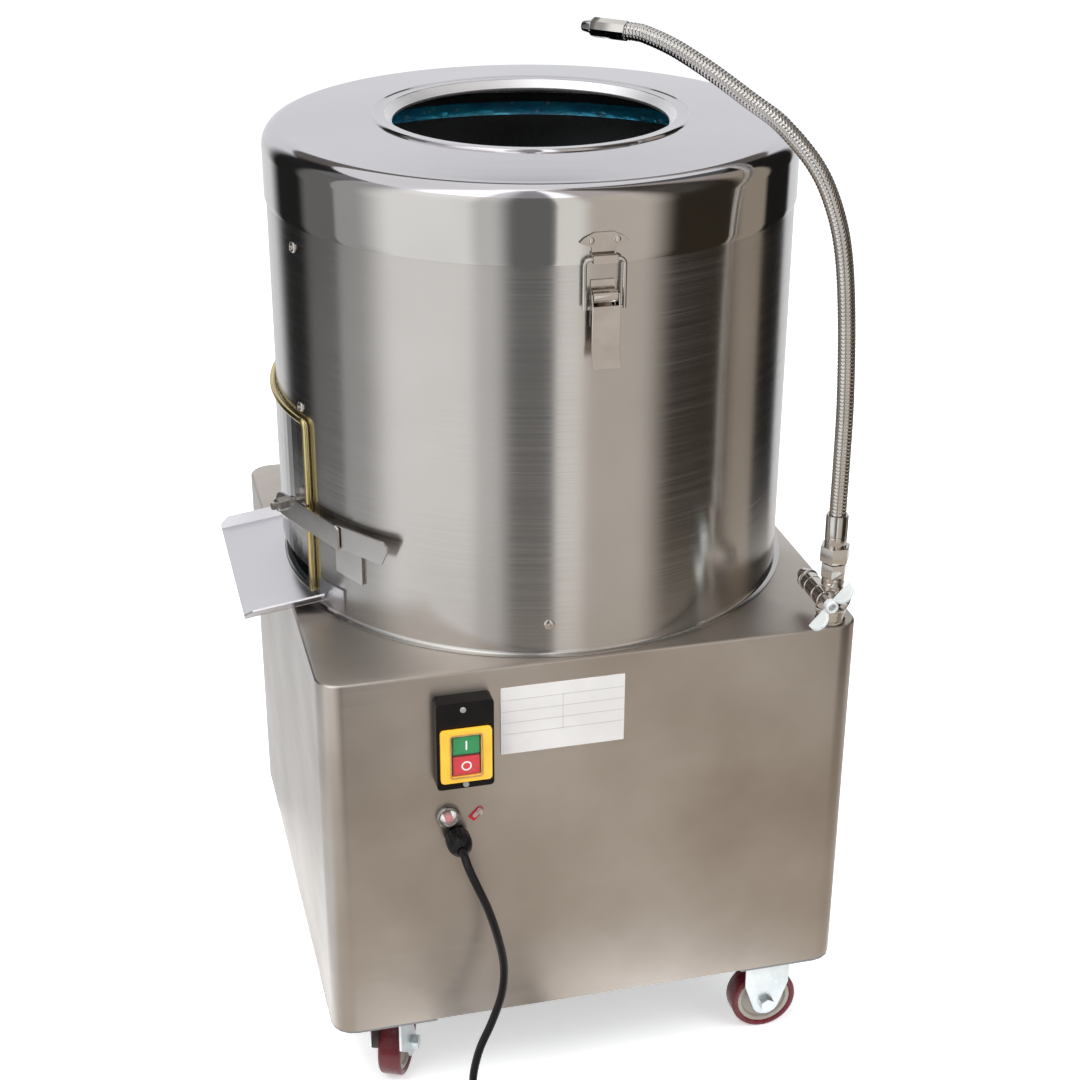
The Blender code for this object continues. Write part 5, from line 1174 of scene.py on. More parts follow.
@dataclass
class FrontPanel:
    """Push-button switch, reset, earth screw, cable gland and bare plate on the cabinet's front."""

    face: float = -0.2803
    switch_x: float = -0.1395
    switch_z: float = 0.454
    frame_z: float = 0.4445
    box_depth: float = 0.018
    spacing: float = 0.0235
    button_rise: float = 0.0035
    film_rise: float = 0.0047
    screw_places: tuple = ((-0.002, 0.0405), (0, -0.0445))
    reset: tuple = (-0.155, 0.3636)
    earth: tuple = (-0.122, 0.365)
    gland: tuple = (-0.147, 0.340)
    plate: tuple = (-0.036, 0.465)
    plate_size: tuple = (0.128, 0.076)
    rule_shares: tuple = (0.19, 0.36, 0.53, 0.70)

    def out(self, x: float, z: float, depth: float = 0.0) -> Matrix:
        """Frame on the panel whose Z looks out of it.

        Args:
            x: Across the panel.
            z: Above the floor.
            depth: Out of the panel.

        Returns:
            The matrix.
        """
        return plane_at((x, self.face - depth, z), (1, 0, 0), (0, 0, 1))

    def build(self) -> None:
        """Builds and dresses everything on the panel."""
        self.build_switch()
        self.build_reset()
        self.build_earth()
        self.build_gland()
        self.build_plate()

    def build_switch(self) -> None:
        """Dresses the switch and adds its marks, screws and film."""
        dress(BLACK_PLASTIC, "switch_box", ease=0.0007)
        dress(YELLOW_PLASTIC, "switch_frame", ease=0.0006)
        dress(GREEN_PLASTIC, "start_button")
        dress(RED_PLASTIC, "stop_button")
        front = self.box_depth + self.button_rise
        for body, way, mark in (("start", 1, Mark.BAR), ("stop", -1, Mark.RING)):
            if mark is Mark.BAR:
                loops = [rounded_rectangle(0.0016, 0.0105, 0.0007)]
            else:
                loops = [polygon(32, 0.0052), polygon(32, 0.0038)]
            spot = self.out(self.switch_x, self.frame_z + way * self.spacing / 2, front + 0.0001)
            Piece(body + "_mark").add(slab(loops, 0.0003), WHITE_INK, spot).done(body)
        film = Piece("button_film")
        outer = rounded_rectangle(0.0335, 0.0495, 0.003)
        inner = rounded_rectangle(0.0305, 0.0465, 0.002)
        spot = self.out(self.switch_x, self.frame_z, self.box_depth + GAP + self.film_rise)
        film.add(slab([inner], 0.0004, 0.0001), CLEAR_FILM, spot)
        film.add(slab([outer, inner], 0.0009, 0.0003), FILM_RIM, spot)
        film.done("cabinet")
        screws = Piece("switch_screws")
        for x, z in self.screw_places:
            spot = self.out(self.switch_x + x, self.switch_z + z, self.box_depth - 0.0001)
            slot = placed(slab([rounded_rectangle(0.008, 0.0008, 0.0003)], 0.002), raised(0.0018))
            screws.add(cut_out(domed(0.0032, 0.0013), slot), ZINC, spot)
        screws.done("cabinet")

    def build_reset(self) -> None:
        """Bright bezel, red core and clear dome of the overload reset."""
        spot = self.out(*self.reset)
        ring = [(0.0090, 0), (0.0123, 0), (0.0125, 0.0004), (0.0125, 0.0038), (0.0119, 0.0052),
                (0.0108, 0.0060), (0.0096, 0.0060), (0.0090, 0.0054)]
        bezel = Piece("reset_ring").add(turned(ring, 64, closed=True), DULL_NICKEL, spot)
        bezel.done("cabinet", "reset_bezel")
        button = Piece("reset_dome")
        button.add(bar(0.0042, 0.0145, 0.0012, 32), RED_PLASTIC, spot @ raised(-0.0065))
        wide, low, tall = 0.0085, 0.0064, 0.005
        dome = [(wide, -0.0065), (wide, low)]
        for i in range(1, 8):
            angle = math.pi / 2 * i / 8
            dome.append((wide * math.cos(angle), low + tall * math.sin(angle)))
        dome += [(0, 0.0114)]
        button.add(turned(dome, 48), CLEAR_DOME, spot)
        button.done("reset", "reset_button")

    def build_earth(self) -> None:
        """Earth screw over its small red tag."""
        half = 0.004
        loop = arc((0, 0), half, -90, 90, 16) + [(-0.013, half), (-0.013, -half)]
        turn = Matrix.Rotation(math.radians(45), 4, 'Z')
        spot = self.out(*self.earth)
        piece = Piece("earth_screw")
        piece.add(slab([loop], 0.0008, 0.0001), RED_PLASTIC, spot @ raised(0.0004) @ turn)
        bed = rounded_rectangle(0.0125, 0.0046, 0.0022)
        tag = spot @ raised(0.00095) @ turn @ Matrix.Translation((-0.0035, 0, 0))
        piece.add(slab([bed], 0.0003), ZINC, tag)
        piece.add(bar(0.0033, 0.0010, 0.0002, 32), ZINC, spot @ raised(0.0008))
        piece.add(bar(0.0030, 0.0026, 0.0005, sides=6), NICKEL, spot @ raised(0.0018) @ turn)
        piece.done("cabinet", "earth_terminal")

    def build_gland(self) -> None:
        """Fluted dome nut of the cable gland, tapered toward the cord."""
        reach, nut, neck = 0.0317, 0.013, 0.0095
        outline = [(0.0043, reach), (0.0058, reach), (0.0065, reach - 0.0008), (0.0082, reach * 0.93),
                   (nut * 0.80, reach * 0.85), (nut * 0.93, reach * 0.72), (nut * 0.985, reach * 0.62),
                   (nut, reach * 0.58), (nut, reach * 0.24), (nut - 0.0008, reach * 0.20),
                   (neck, reach * 0.17), (neck, 0.0003), (0.0078, 0), (0.0078, -0.010), (0.0043, -0.010)]
        shape = turned(outline, 128, closed=True, flutes=16, flute_depth=0.0007, fluted=(6, 7, 8))
        piece = Piece("gland_nut").add(shape, BLACK_PLASTIC, self.out(*self.gland))
        piece.add(bar(0.0125, 0.0028, 0.0004, sides=6), BLACK_PLASTIC, self.out(*self.gland, 0.0002))
        piece.done("cabinet", "cable_gland", angle=25)

    def build_plate(self) -> None:
        """Bare plate with plain ruled lines."""
        width, height = self.plate_size
        piece = Piece("ruled_plate")
        piece.add(slab([rounded_rectangle(width, height, 0.0008)], 0.0008, 0.0001), PLATE_FACE,
                  self.out(*self.plate, 0.0004))
        face = self.out(*self.plate, 0.00083)
        rule, inset = 0.00045, 0.0012
        for share in self.rule_shares:
            piece.add(slab([rounded_rectangle(width - 2 * inset, rule, rule / 3, 2)], 0.0001), PLATE_INK,
                      face @ Matrix.Translation((0, height * (0.5 - share), 0)))
        top, low = self.rule_shares[0], self.rule_shares[-1]
        piece.add(slab([rounded_rectangle(rule, height * (low - top), rule / 3, 2)], 0.0001), PLATE_INK,
                  face @ Matrix.Translation((0, height * (0.5 - (top + low) / 2), 0)))
        piece.done("cabinet", "name_plate")


@dataclass
class WaterFitting:
    """Plated valve with its side port and handle, the union, the ribbed arm and its nozzle."""

    x: float = 0.252
    y: float = -0.262
    base: float = BASE
    run: float = 0.555
    port_angle: float = 14.0
    port_reach: float = 0.0165
    stem_aside: float = 0.0105
    stem_reach: float = 0.0200
    handle_angle: float = 48.0
    handle_length: float = 0.030
    bar_depth: float = 0.006
    wing_length: float = 0.023
    wing_rise: float = 0.013
    union_low: float = 0.5773
    ferrule_top: float = 0.6453
    arm_reach: float = 0.25302
    arm_rise: float = 0.4500
    hose: float = 0.0088
    rib_pitch: float = 0.0038
    rib_depth: float = 0.0008
    rings_per_rib: int = 8
    strands: int = 10
    arm_route_shares: tuple = (
        (0.0, 0.0), (0.0, 0.04), (0.0, 0.1222), (0.004, 0.2733), (0.0237, 0.4556), (0.0553, 0.5956),
        (0.1067, 0.6911), (0.1897, 0.7711), (0.332, 0.8444), (0.4822, 0.8911), (0.6324, 0.9356),
        (0.7905, 0.9756), (0.917, 0.9967), (0.9644, 1.0), (1.0, 1.0))

    def build(self) -> None:
        """Builds every piece of the water fitting."""
        self.build_valve()
        self.build_handle()
        self.build_union()
        self.build_hose()

    def build_valve(self) -> None:
        """Foot, hexagon, riser, threaded port, cartridge and stem."""
        up = Matrix.Translation((self.x, self.y, self.base))
        piece = Piece("valve_body")
        foot = [(0, 0), (0.0152, 0), (0.0155, 0.0005), (0.0155, 0.0030), (0.0146, 0.0036), (0.0146, 0.0100),
                (0.0155, 0.0106), (0.0155, 0.0140), (0, 0.0140)]
        piece.add(turned(foot, 64), NICKEL, up)
        piece.add(bar(0.0165, 0.004, 0.0006, sides=6), NICKEL, up @ raised(0.012))
        riser = [(0, 0.014), (0.0108, 0.014), (0.0115, 0.0152), (0.0115, 0.0442), (0.0106, 0.0452),
                 (0.0106, 0.0462), (0.0115, 0.0470), (0.0115, 0.0500), (0.0110, 0.0505), (0, 0.0505)]
        piece.add(turned(riser, 48), NICKEL, up)
        heading = math.radians(self.port_angle)
        ahead = Vector((math.sin(heading), -math.cos(heading), 0))
        middle = Vector((self.x, self.y, self.run))
        mouth = self.port_reach
        port = [(0, 0.0), (0.0124, 0.0), (0.0124, 0.0040), (0.0130, 0.0047), (0.0130, mouth - 0.0008)]
        port += [(0.0123, mouth), (0.0107, mouth), (0.0102, mouth - 0.0006)]
        for i in range(5):
            start = mouth - 0.0010 - 0.0018 * i
            port += [(0.0106, start), (0.0097, start - 0.0008), (0.0097, start - 0.0010),
                     (0.0106, start - 0.0018)]
        port += [(0.0094, mouth - 0.0105), (0, mouth - 0.0110)]
        piece.add(turned(port, 64), NICKEL, along_axis(middle, middle + ahead))
        beside = self.x - self.stem_aside
        shaft = [(0, 0), (0.0040, 0.0003), (0.0066, 0.0018), (0.0074, 0.0040), (0.0074, 0.0095),
                 (0.0062, 0.0108), (0.0062, 0.0128), (0.0102, 0.0130), (0.0113, 0.0140), (0.0113, 0.0168),
                 (0.0102, 0.0178),
                 (0.0094, 0.0180), (0.0094, 0.0200), (0.0105, 0.0208), (0.0105, 0.0300), (0.0098, 0.0306),
                 (0.0098, 0.0322), (0.0105, 0.0328), (0.0105, 0.0490), (0.0096, 0.0498), (0.0096, 0.0520),
                 (0.0105, 0.0528), (0.0105, 0.0652), (0.0098, 0.0660), (0, 0.0660)]
        piece.add(turned(shaft, 48), NICKEL, along_axis((beside, self.y + 0.054, self.run),
                                                        (beside, self.y, self.run)))
        piece.add(bar(0.0045, self.stem_reach, 0.0004, 24), NICKEL,
                  along_axis((beside, self.y, self.run), (beside, self.y - 1, self.run)))
        piece.done("cabinet", "inlet_valve", angle=35)

    def build_handle(self) -> None:
        """Nylon bar with two wings bent forward, on its hub."""
        middle = self.handle_length - self.wing_length / 2
        wing = [(x * self.wing_length / 2, self.bar_depth + y * self.wing_rise)
                for x, y in arc((0, 0), 1, 0, 180, 32)]
        loop = [(-self.handle_length, 0.0), (self.handle_length, 0.0)]
        loop += [(middle + x, y) for x, y in wing]
        loop += [(-middle + x, y) for x, y in wing]
        turn = math.radians(self.handle_angle)
        centre = Vector((self.x - self.stem_aside, self.y - self.stem_reach - GAP, self.run))
        piece = Piece("valve_wings")
        piece.add(slab([loop], 0.0035, 0.0008), WHITE_NYLON,
                  plane_at(centre, (math.cos(turn), 0, math.sin(turn)), (0, -1, 0)))
        spot = along_axis(centre, centre + Vector((0, -1, 0)))
        hub = [(0, 0.0002), (0.0066, 0.0002), (0.0068, 0.0006), (0.0068, 0.0076), (0.0058, 0.0089),
               (0.0042, 0.0089), (0.0038, 0.0072), (0, 0.0072)]
        piece.add(turned(hub, 40), WHITE_NYLON, spot)
        piece.add(domed(0.0034, 0.0012, 24), ZINC, spot @ raised(0.0070))
        piece.done("handle", "valve_handle")

    def build_union(self) -> None:
        """Two hexagons, a neck and the ferrule that grips the arm."""
        up = Matrix.Translation((self.x, self.y, 0))
        piece = Piece("union_nuts")
        piece.add(bar(0.0135, 0.015, 0.0009, sides=6), NICKEL, up @ raised(self.union_low))
        neck = [(0, 0.5918), (0.0095, 0.5918), (0.0095, 0.5948), (0, 0.5948)]
        piece.add(turned(neck, 48), NICKEL, up)
        piece.add(bar(0.0158, 0.017, 0.0011, sides=6), NICKEL, up @ raised(0.5943))
        low, high = 0.6113, self.ferrule_top
        ferrule = [(0, low - 0.0005), (0.0108, low - 0.0005), (0.0112, low + 0.0006), (0.0112, low + 0.010),
                   (0.0108, low + 0.0105), (0.0108, low + 0.0115), (0.0112, low + 0.012),
                   (0.0112, high - 0.0012), (0.0106, high), (0, high)]
        piece.add(turned(ferrule, 48), BRIGHT_NICKEL, up)
        piece.done("spray_arm", "hose_union", angle=35)

    def braid(self, step: int, share: float) -> float:
        """Radius of the arm: ribs that zigzag round it, as a woven jacket makes them.

        Args:
            step: Which ring of the arm.
            share: Place round the arm, from 0 to 1.

        Returns:
            The radius.
        """
        zigzag = abs((share * self.strands) % 1.0 - 0.5)
        wave = abs(math.sin(math.pi * (step / self.rings_per_rib + 0.9 * zigzag)))
        turn = math.pi * share * self.strands
        seam = abs(math.cos(turn)) ** 6 + abs(math.sin(turn)) ** 6
        return self.hose - self.rib_depth * (1 - wave ** 0.7) - self.rib_depth * 0.35 * seam

    def build_hose(self) -> None:
        """Ribbed arm and the nozzle at its end."""
        base = Vector((self.x, self.y, self.ferrule_top + GAP))
        toward = -Vector((self.x, self.y, 0)).normalized()
        route = [(along * self.arm_reach, 0, rise * self.arm_rise) for along, rise in self.arm_route_shares]
        coarse = smooth_line(route, 400)
        length = sum((b - a).length for a, b in zip(coarse, coarse[1:]))
        ribs = round(length / self.rib_pitch)
        count = ribs * self.rings_per_rib + 1
        line = [base + toward * p.x + Vector((0, 0, p.z)) for p in smooth_line(route, count)]
        arm = swept(line, self.braid, 60)
        Piece("ribbed_arm").add(arm, BRIGHT_NICKEL).done("spray_arm", "gooseneck_hose", angle=75)
        start = line[-1] + toward * GAP
        piece = Piece("nozzle_body")
        spot = along_axis(start, start + toward)
        piece.add(bar(0.0098, 0.038, 0.0011, sides=8), NICKEL, spot)
        tip = [(0, 0.0378), (0.0086, 0.0378), (0.0088, 0.0384), (0.0084, 0.0392), (0.0066, 0.0394),
               (0.0050, 0.0490), (0.0045, 0.0499), (0.0032, 0.0500), (0.0028, 0.0496), (0.0028, 0.0420),
               (0, 0.0418)]
        piece.add(turned(tip, 40), BRIGHT_NICKEL, spot)
        piece.done("spray_arm", "spray_nozzle", angle=35)


@dataclass
class Caster:
    """Moulded wheel in a plated fork."""

    end: str
    heading: float
    swivel: bool
    radius: float = 0.0375
    half: float = 0.013
    rim: float = 0.0305
    hub: float = 0.011
    bore: float = 0.0045

    def build(self) -> None:
        """Builds the wheel and dresses the fork and plate."""
        node = "caster_wheel_" + self.end
        low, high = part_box(node)
        centre = (low + high) / 2 - AXIS
        turn = math.radians(self.heading)
        axle = Vector((math.sin(turn), -math.cos(turn), 0))
        spot = along_axis(centre, centre + axle)
        half, rim, big = self.half, self.rim, self.radius
        tyre = [(rim, half - 0.0035), (rim + 0.0006, half - 0.0018), (big - 0.0036, half - 0.0002)]
        tyre += arc((big - 0.0036, half - 0.0038), 0.0036, 80, 8, 6)
        tyre += [(r, -z) for r, z in reversed(tyre)]
        disc = [(self.hub, half - 0.0012), (self.hub + 0.0012, half - 0.0050),
                (self.hub + 0.009, half - 0.0058), (rim - 0.006, half - 0.0050),
                (rim - 0.0042, half - 0.0026), (rim, half - 0.0024)]
        disc += [(r, -z) for r, z in reversed(disc)]
        hub = [(self.bore, half), (self.hub - 0.0008, half), (self.hub, half - 0.0008),
               (self.hub, -half + 0.0008), (self.hub - 0.0008, -half), (self.bore, -half)]
        piece = Piece("wheel_" + self.end + "_moulding")
        piece.add(turned(tyre, 96, closed=True), WINE_TREAD, spot)
        piece.add(turned(disc, 72, closed=True), RIM_PLASTIC, spot)
        piece.add(turned(hub, 48, closed=True), WINE_TREAD, spot)
        piece.done("wheel_" + self.end, node, angle=40)
        dress(ZINC, "caster_fork_" + self.end, ease=0.0005)
        if self.swivel:
            dress(ZINC, "caster_plate_" + self.end, ease=0.0005)


@dataclass
class Drive:
    """Shaft, bearings, belt and motor inside the cabinet, and the drain."""

    def build(self) -> None:
        """Dresses the pieces that the cabinet hides."""
        dress(GROUND_STEEL, "main_shaft", "upper_bearing", "lower_bearing", "motor_pulley")
        dress(CAST_IRON, "bearing_housing", "driven_pulley")
        dress(RUBBER, "shaft_seal", "drive_belt")
        dress(MOTOR_PAINT, "motor")
        dress(PIPE_GREY, "drain_pipe", ease=0.0003)


@dataclass
class MainsLead:
    """Mains lead from the gland to the floor, its coil, tie and plug."""

    radius: float = 0.00425
    turns: float = 2.5
    pitch: float = 0.0092
    inner: float = 0.034
    rise: float = 0.0095
    dip: float = 0.0015
    tail: float = 0.030
    tail_rise: float = 0.0035
    floor: float = 0.00555
    route: tuple = (
        (-0.147, -0.3126, 0.340), (-0.147, -0.3215, 0.340), (-0.145, -0.334, 0.332), (-0.138, -0.341, 0.314),
        (-0.128, -0.343, 0.287), (-0.118, -0.342, 0.250), (-0.112, -0.341, 0.215), (-0.114, -0.341, 0.180),
        (-0.125, -0.342, 0.146), (-0.139, -0.344, 0.114), (-0.147, -0.348, 0.082), (-0.149, -0.357, 0.048),
        (-0.150, -0.373, 0.020), (-0.150, -0.392, 0.0080), (-0.150, -0.411, 0.0058),
        (-0.150, -0.4215, 0.00555))

    def coil(self, per_turn: int = 48) -> tuple[list[Vector], Vector]:
        """Centre line of the coil: in on the floor, up at the middle, out above, then the tail.

        Args:
            per_turn: Points in each turn.

        Returns:
            The points and the direction of the tail.
        """
        start = Vector(self.route[-1]) + Vector((0, -GAP, 0))
        outer = self.inner + self.turns * self.pitch
        centre = Vector((start.x + outer, start.y - 2 * self.radius, self.floor))
        count, climb = int(self.turns * per_turn), per_turn // 2
        polar = [(i, outer - self.pitch * i / per_turn, 0.0) for i in range(1, count + 1)]
        for i in range(1, climb + 1):
            turn = math.pi * i / climb
            share = (1 - math.cos(turn)) / 2
            polar.append((count + i, self.inner - self.dip * math.sin(turn), self.rise * share))
        polar += [(count + climb + i, self.inner + self.pitch * i / per_turn, self.rise)
                  for i in range(1, count + 1)]
        points = [start, start + Vector((0, -2 * self.radius, 0))]
        for step, radius, height in polar:
            angle = math.pi + 2 * math.pi * step / per_turn
            points.append(centre + Vector((radius * math.cos(angle), radius * math.sin(angle), height)))
        angle = math.pi + 2 * math.pi * polar[-1][0] / per_turn
        heading = Vector((-math.sin(angle), math.cos(angle), 0))
        last = points[-1].copy()
        for i in range(1, 9):
            share = i / 8
            lift = self.tail_rise * (3 * share ** 2 - 2 * share ** 3)
            points.append(last + heading * self.tail * share + Vector((0, 0, lift)))
        points.append(points[-1] + heading * 2 * self.radius)
        return points, heading

    def build(self) -> None:
        coil, heading = self.coil()
        points = [p + AXIS for p in smooth_line(self.route, 61) + coil]
        curve = bpy.data.curves.new("mains_lead", 'CURVE')
        curve.dimensions = '3D'
        curve.bevel_depth = self.radius
        curve.bevel_resolution = 6
        curve.use_fill_caps = True
        line = curve.splines.new('POLY')
        line.points.add(len(points) - 1)
        for place, point in zip(line.points, points):
            place.co = (*point, 1)
        line.use_smooth = True
        curve.materials.append(CORD_SKIN.material())
        lead = linked("mains_lead", curve)
        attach(lead, "cabinet")
        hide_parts("mains_cord", "cord_coil")
        plug = self.build_plug(coil[-1] + heading * GAP, heading)
        dress(BLACK_PLASTIC, "cord_tie", ease=0.0003)

    def build_plug(self, start: Vector, heading: Vector) -> bpy.types.Object:
        """Round two-pin plug that lies on the floor.

        Args:
            start: End of the lead.
            heading: The way that the plug points.

        Returns:
            The plug's object.
        """
        spot = along_axis(start, start + heading)
        piece = Piece("two_pin_plug")
        neck = [(0, 0), (0.0058, 0), (0.0060, 0.0006)]
        for i in range(6):
            low = 0.0012 + 0.0032 * i
            bulge = 0.0060 + 0.0020 * (i + 1) / 6
            neck += [(bulge, low), (bulge, low + 0.0020), (bulge - 0.0011, low + 0.0024),
                     (bulge - 0.0011, low + 0.003)]
        body = [(0.0148 * 0.72, 0.0212), (0.0142, 0.0222), (0.0148, 0.0240), (0.0156, 0.0330),
                (0.0164, 0.0340), (0.0166, 0.0350), (0.0161, 0.0360), (0.0170, 0.0420), (0.0178, 0.0430),
                (0.0180, 0.0440), (0.0175, 0.0450), (0.0184, 0.0560), (0.0185, 0.0572), (0.0178, 0.0580),
                (0, 0.0580)]
        piece.add(turned(neck + body, 64), BLACK_PLASTIC, spot)
        for way in (-1, 1):
            foot = spot @ raised(0.0577)
            side = Matrix.Translation(Vector((0, 0, 1)).cross(heading) * (way * 0.0095))
            pin = [(0, 0), (0.0024, 0), (0.0024, 0.0180), (0.0019, 0.0192), (0, 0.0193)]
            piece.add(turned(pin, 24), BRIGHT_NICKEL, side @ foot)
        return piece.done("cabinet", "mains_plug", angle=35)


@dataclass(frozen=True)
class Card:
    """One studio card: a range of angles round the machine, its brightness and its warmth.

    Angles are in degrees from the camera, rising to the right.
    """

    start: float
    end: float
    level: float
    warmth: float = 0.0

    def colour(self) -> Triple:
        """Colour of the card.

        Returns:
            Red, green and blue.
        """
        green, blue = 1 - WARM_GREEN * self.warmth, 1 - WARM_BLUE * self.warmth
        return self.level, self.level * green, self.level * blue


def ringed(sides: tuple, level: float, warmth: float) -> tuple:
    """A full ring of cards.

    Args:
        sides: The cards at the front and the sides, in order.
        level: Brightness of the cards behind.
        warmth: Warmth of the cards behind.

    Returns:
        All its cards in order.
    """
    return Card(-180, -134, level, warmth), *sides, Card(134, 180, level, warmth)


SIDE_CARDS = (
    Card(-120, -104, 0.02), Card(-97, -81, 0.18), Card(-79.5, -70, 0.42), Card(-52, -24, 1.0),
    Card(-18, -14, 0.70), Card(-5, 8.5, 0.17), Card(10.5, 17, 0.95, 0.15), Card(24, 42, 0.62, 0.45),
    Card(58, 82, 0.035, 1.2), Card(92, 105, 0.36, 0.8), Card(108, 128, 0.015, 0.5))


@dataclass
class Studio:
    """Camera, pale floor, soft lamps and the cards that the steel mirrors."""

    azimuth: float = -14.39
    elevation: float = 25.35
    distance: float = 2.29278
    target: tuple = (0.05655, 0.07784, 0.48498)
    roll: float = 0.25
    lens: float = 65.77
    sensor: float = 36.0
    air: tuple = (0.95, 0.97, 1.0, 1)
    air_strength: float = 0.62
    floor_half: float = 14.0
    floor_colour: tuple = (0.86, 0.86, 0.86, 1)
    floor_glow: float = 0.46
    ring_radius: float = 1.25
    ring_steps: int = 240
    ring_height: float = 2.10
    wall_height: float = 1.60
    foot_radius: float = 0.46
    foot_height: float = 0.0008
    ground_height: float = 0.012
    wall_foot: float = 0.16
    cornice_step: float = 0.03
    ceiling_step: float = 0.02
    crown_share: float = 0.2
    crown_rise: float = 0.5
    wall: tuple = ringed(SIDE_CARDS, 0.78, -0.1)
    ground: tuple = (Card(-180, -62, 0.95, -0.1), Card(-34, 75, 0.56, 0.7), Card(110, 180, 0.80, 0.2))
    cornice: tuple = ringed(SIDE_CARDS, 0.13, 0.5)
    ceiling: tuple = (
        Card(-180, -60, 0.86), Card(-50, -22, 1.6), Card(-17, -14, 0.75), Card(-5, 8.5, 0.30),
        Card(10.5, 17, 1.5), Card(24, 42, 0.52, 0.4), Card(58, 82, 0.06, 1.0), Card(92, 105, 0.40, 0.5),
        Card(108, 128, 0.10), Card(134, 180, 0.86))
    lamp_target: tuple = (0, 0, 0.6)
    # Name, azimuth, elevation, distance, diameter and watts of each lamp
    lamps: tuple = (
        ("key_lamp", -50, 50, 2.9, 1.8, 62), ("fill_lamp", 45, 35, 3.2, 2.2, 34),
        ("top_lamp", 10, 82, 2.8, 2.0, 40), ("rear_lamp", 170, 45, 3.2, 2.0, 30))

    def build(self) -> None:
        """Builds the studio."""
        scene = bpy.context.scene
        scene.view_settings.view_transform = 'Standard'
        self.build_camera(scene)
        self.build_world(scene)
        self.build_floor()
        self.build_cards()
        self.build_lamps()

    def build_camera(self, scene: bpy.types.Scene) -> None:
        """Stands the camera where the photograph was taken from.

        Args:
            scene: The scene.
        """
        data = bpy.data.cameras.new("camera")
        data.lens, data.sensor_width, data.sensor_fit = self.lens, self.sensor, 'HORIZONTAL'
        data.clip_start, data.clip_end = 0.05, 60.0
        camera = linked("camera", data)
        back = outward(self.azimuth, self.elevation)
        side = Vector((0, 0, 1)).cross(back).normalized()
        turn = Matrix((side, back.cross(side), back)).transposed().to_4x4()
        place = Matrix.Translation(Vector(self.target) + back * self.distance)
        camera.matrix_world = place @ turn @ Matrix.Rotation(math.radians(self.roll), 4, 'Z')
        scene.camera = camera

    def build_world(self, scene: bpy.types.Scene) -> None:
        """Even light all round, seen as white.

        Args:
            scene: The scene.
        """
        world = bpy.data.worlds.new("studio_air")
        world.use_nodes = True
        scene.world = world
        wiring, nodes = Wiring(world.node_tree), world.node_tree.nodes
        wiring.feed(nodes["Background"], {"Color": self.air, "Strength": self.air_strength})
        white = wiring.add("Background", {"Color": (1, 1, 1, 1), "Strength": 1.0}).outputs["Background"]
        lit = nodes["Background"].outputs["Background"]
        mix = wiring.add("MixShader", {"Fac": wiring.seen(), 1: lit, 2: white})
        wiring.feed(nodes["World Output"], {"Surface": mix.outputs["Shader"]})

    def build_floor(self) -> None:
        """Pale floor that keeps the machine's shadow."""
        bm = bmesh.new()
        bmesh.ops.create_grid(bm, x_segments=8, y_segments=8, size=self.floor_half)
        floor = linked("floor", from_bmesh(bm))
        material = bpy.data.materials.new("pale_floor")
        material.use_nodes = True
        wiring, nodes = Wiring(material.node_tree), material.node_tree.nodes
        shader = nodes["Principled BSDF"]
        wiring.feed(shader, {"Base Color": self.floor_colour, "Roughness": 0.9, "Specular IOR Level": 0.1})
        glow = wiring.add("Emission", {"Color": (1, 1, 1, 1), "Strength": self.floor_glow})
        none = wiring.add("Emission", {"Strength": 0.0})
        shown = {"Fac": wiring.seen(), 1: none.outputs["Emission"], 2: glow.outputs["Emission"]}
        light = wiring.add("MixShader", shown).outputs["Shader"]
        total = wiring.add("AddShader", {0: shader.outputs["BSDF"], 1: light})
        wiring.feed(nodes["Material Output"], {"Surface": total.outputs["Shader"]})
        floor.data.materials.append(material)

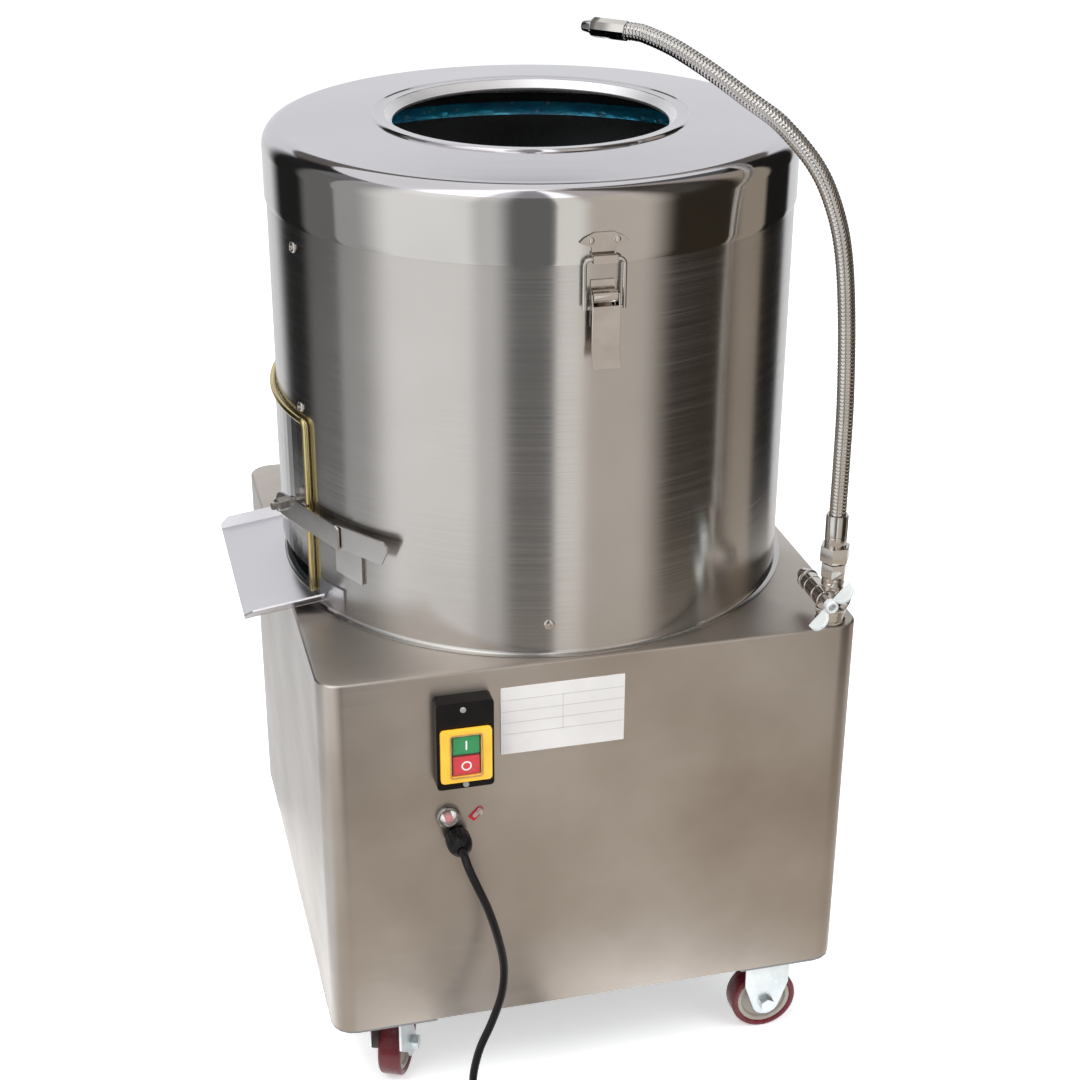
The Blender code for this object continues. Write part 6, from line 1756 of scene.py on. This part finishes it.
    def build_cards(self) -> None:
        """Cards on the floor, in a ring and overhead, seen by gloss alone."""
        ring_radius, high = self.ring_radius, self.ring_height
        rows = ((self.foot_radius, self.foot_height, self.ground),
                (ring_radius, self.ground_height, self.ground),
                (ring_radius, self.wall_foot, self.wall), (ring_radius, self.wall_height, self.wall),
                (ring_radius, self.wall_height + self.cornice_step, self.cornice),
                (ring_radius, high, self.cornice), (ring_radius, high + self.ceiling_step, self.ceiling),
                (ring_radius * self.crown_share, high + self.crown_rise, self.ceiling))
        bm = bmesh.new()
        layer = bm.verts.layers.float_color.new("card")
        rings = []
        for radius, height, cards in rows:
            ring = []
            for i in range(self.ring_steps):
                degrees = 360 * i / self.ring_steps
                angle = math.radians(self.azimuth - 90 + degrees)
                vert = bm.verts.new((radius * math.cos(angle), radius * math.sin(angle), height))
                vert[layer] = (*self.card(cards, (degrees + 180) % 360 - 180), 1)
                ring.append(vert)
            rings.append(ring)
        for lower, upper in zip(rings, rings[1:]):
            for i in range(self.ring_steps):
                k = (i + 1) % self.ring_steps
                bm.faces.new((lower[k], lower[i], upper[i], upper[k]))
        bm.faces.new(rings[-1])
        obj = linked("reflection_cards", from_bmesh(bm), AXIS)
        material = bpy.data.materials.new("card_paint")
        material.use_nodes = True
        wiring, nodes = Wiring(material.node_tree), material.node_tree.nodes
        nodes.remove(nodes["Principled BSDF"])
        paint = wiring.add("VertexColor", layer_name="card")
        glow = wiring.add("Emission", {"Color": paint.outputs["Color"]})
        wiring.feed(nodes["Material Output"], {"Surface": glow.outputs["Emission"]})
        obj.data.materials.append(material)
        for name in ("camera", "diffuse", "transmission", "volume_scatter", "shadow"):
            setattr(obj, "visible_" + name, False)

    @staticmethod
    def card(cards: Sequence[Card], degrees: float) -> Triple:
        """Colour of the cards at an angle, blended in the gaps between them.

        Args:
            cards: The cards in order.
            degrees: Angle from the camera.

        Returns:
            The colour.
        """
        for card in cards:
            if card.start <= degrees <= card.end:
                return card.colour()
        for first, second in zip(cards, cards[1:]):
            if first.end < degrees < second.start:
                t = (degrees - first.end) / (second.start - first.end)
                t = t * t * (3 - 2 * t)
                return tuple(a + (b - a) * t for a, b in zip(first.colour(), second.colour()))
        return cards[0].colour()

    def build_lamps(self) -> None:
        """Large soft lamps."""
        for name, azimuth, elevation, distance, size, power in self.lamps:
            data = bpy.data.lights.new(name, 'AREA')
            data.shape = 'DISK'
            data.size, data.energy = size, power
            back = outward(azimuth, elevation)
            lamp = linked(name, data)
            lamp.matrix_world = (Matrix.Translation(Vector(self.lamp_target) + back * distance)
                                 @ back.to_track_quat('Z', 'Y').to_matrix().to_4x4())


def main() -> None:
    """Builds the studio and the machine, piece by piece."""
    logging.basicConfig(level=logging.INFO, format="%(message)s")
    Studio().build()
    MainsLead().build()
    Cabinet().build()
    Drum().build()
    Lid().build()
    for end in End:
        ToggleLatch(end).build()
    Doorway().build()
    FrontPanel().build()
    WaterFitting().build()
    for caster in (("fl", 65.0, True), ("bl", 100.0, True), ("fr", 0.0, False), ("br", 0.0, False)):
        Caster(*caster).build()
    Drive().build()


if __name__ == "__main__":
    main()
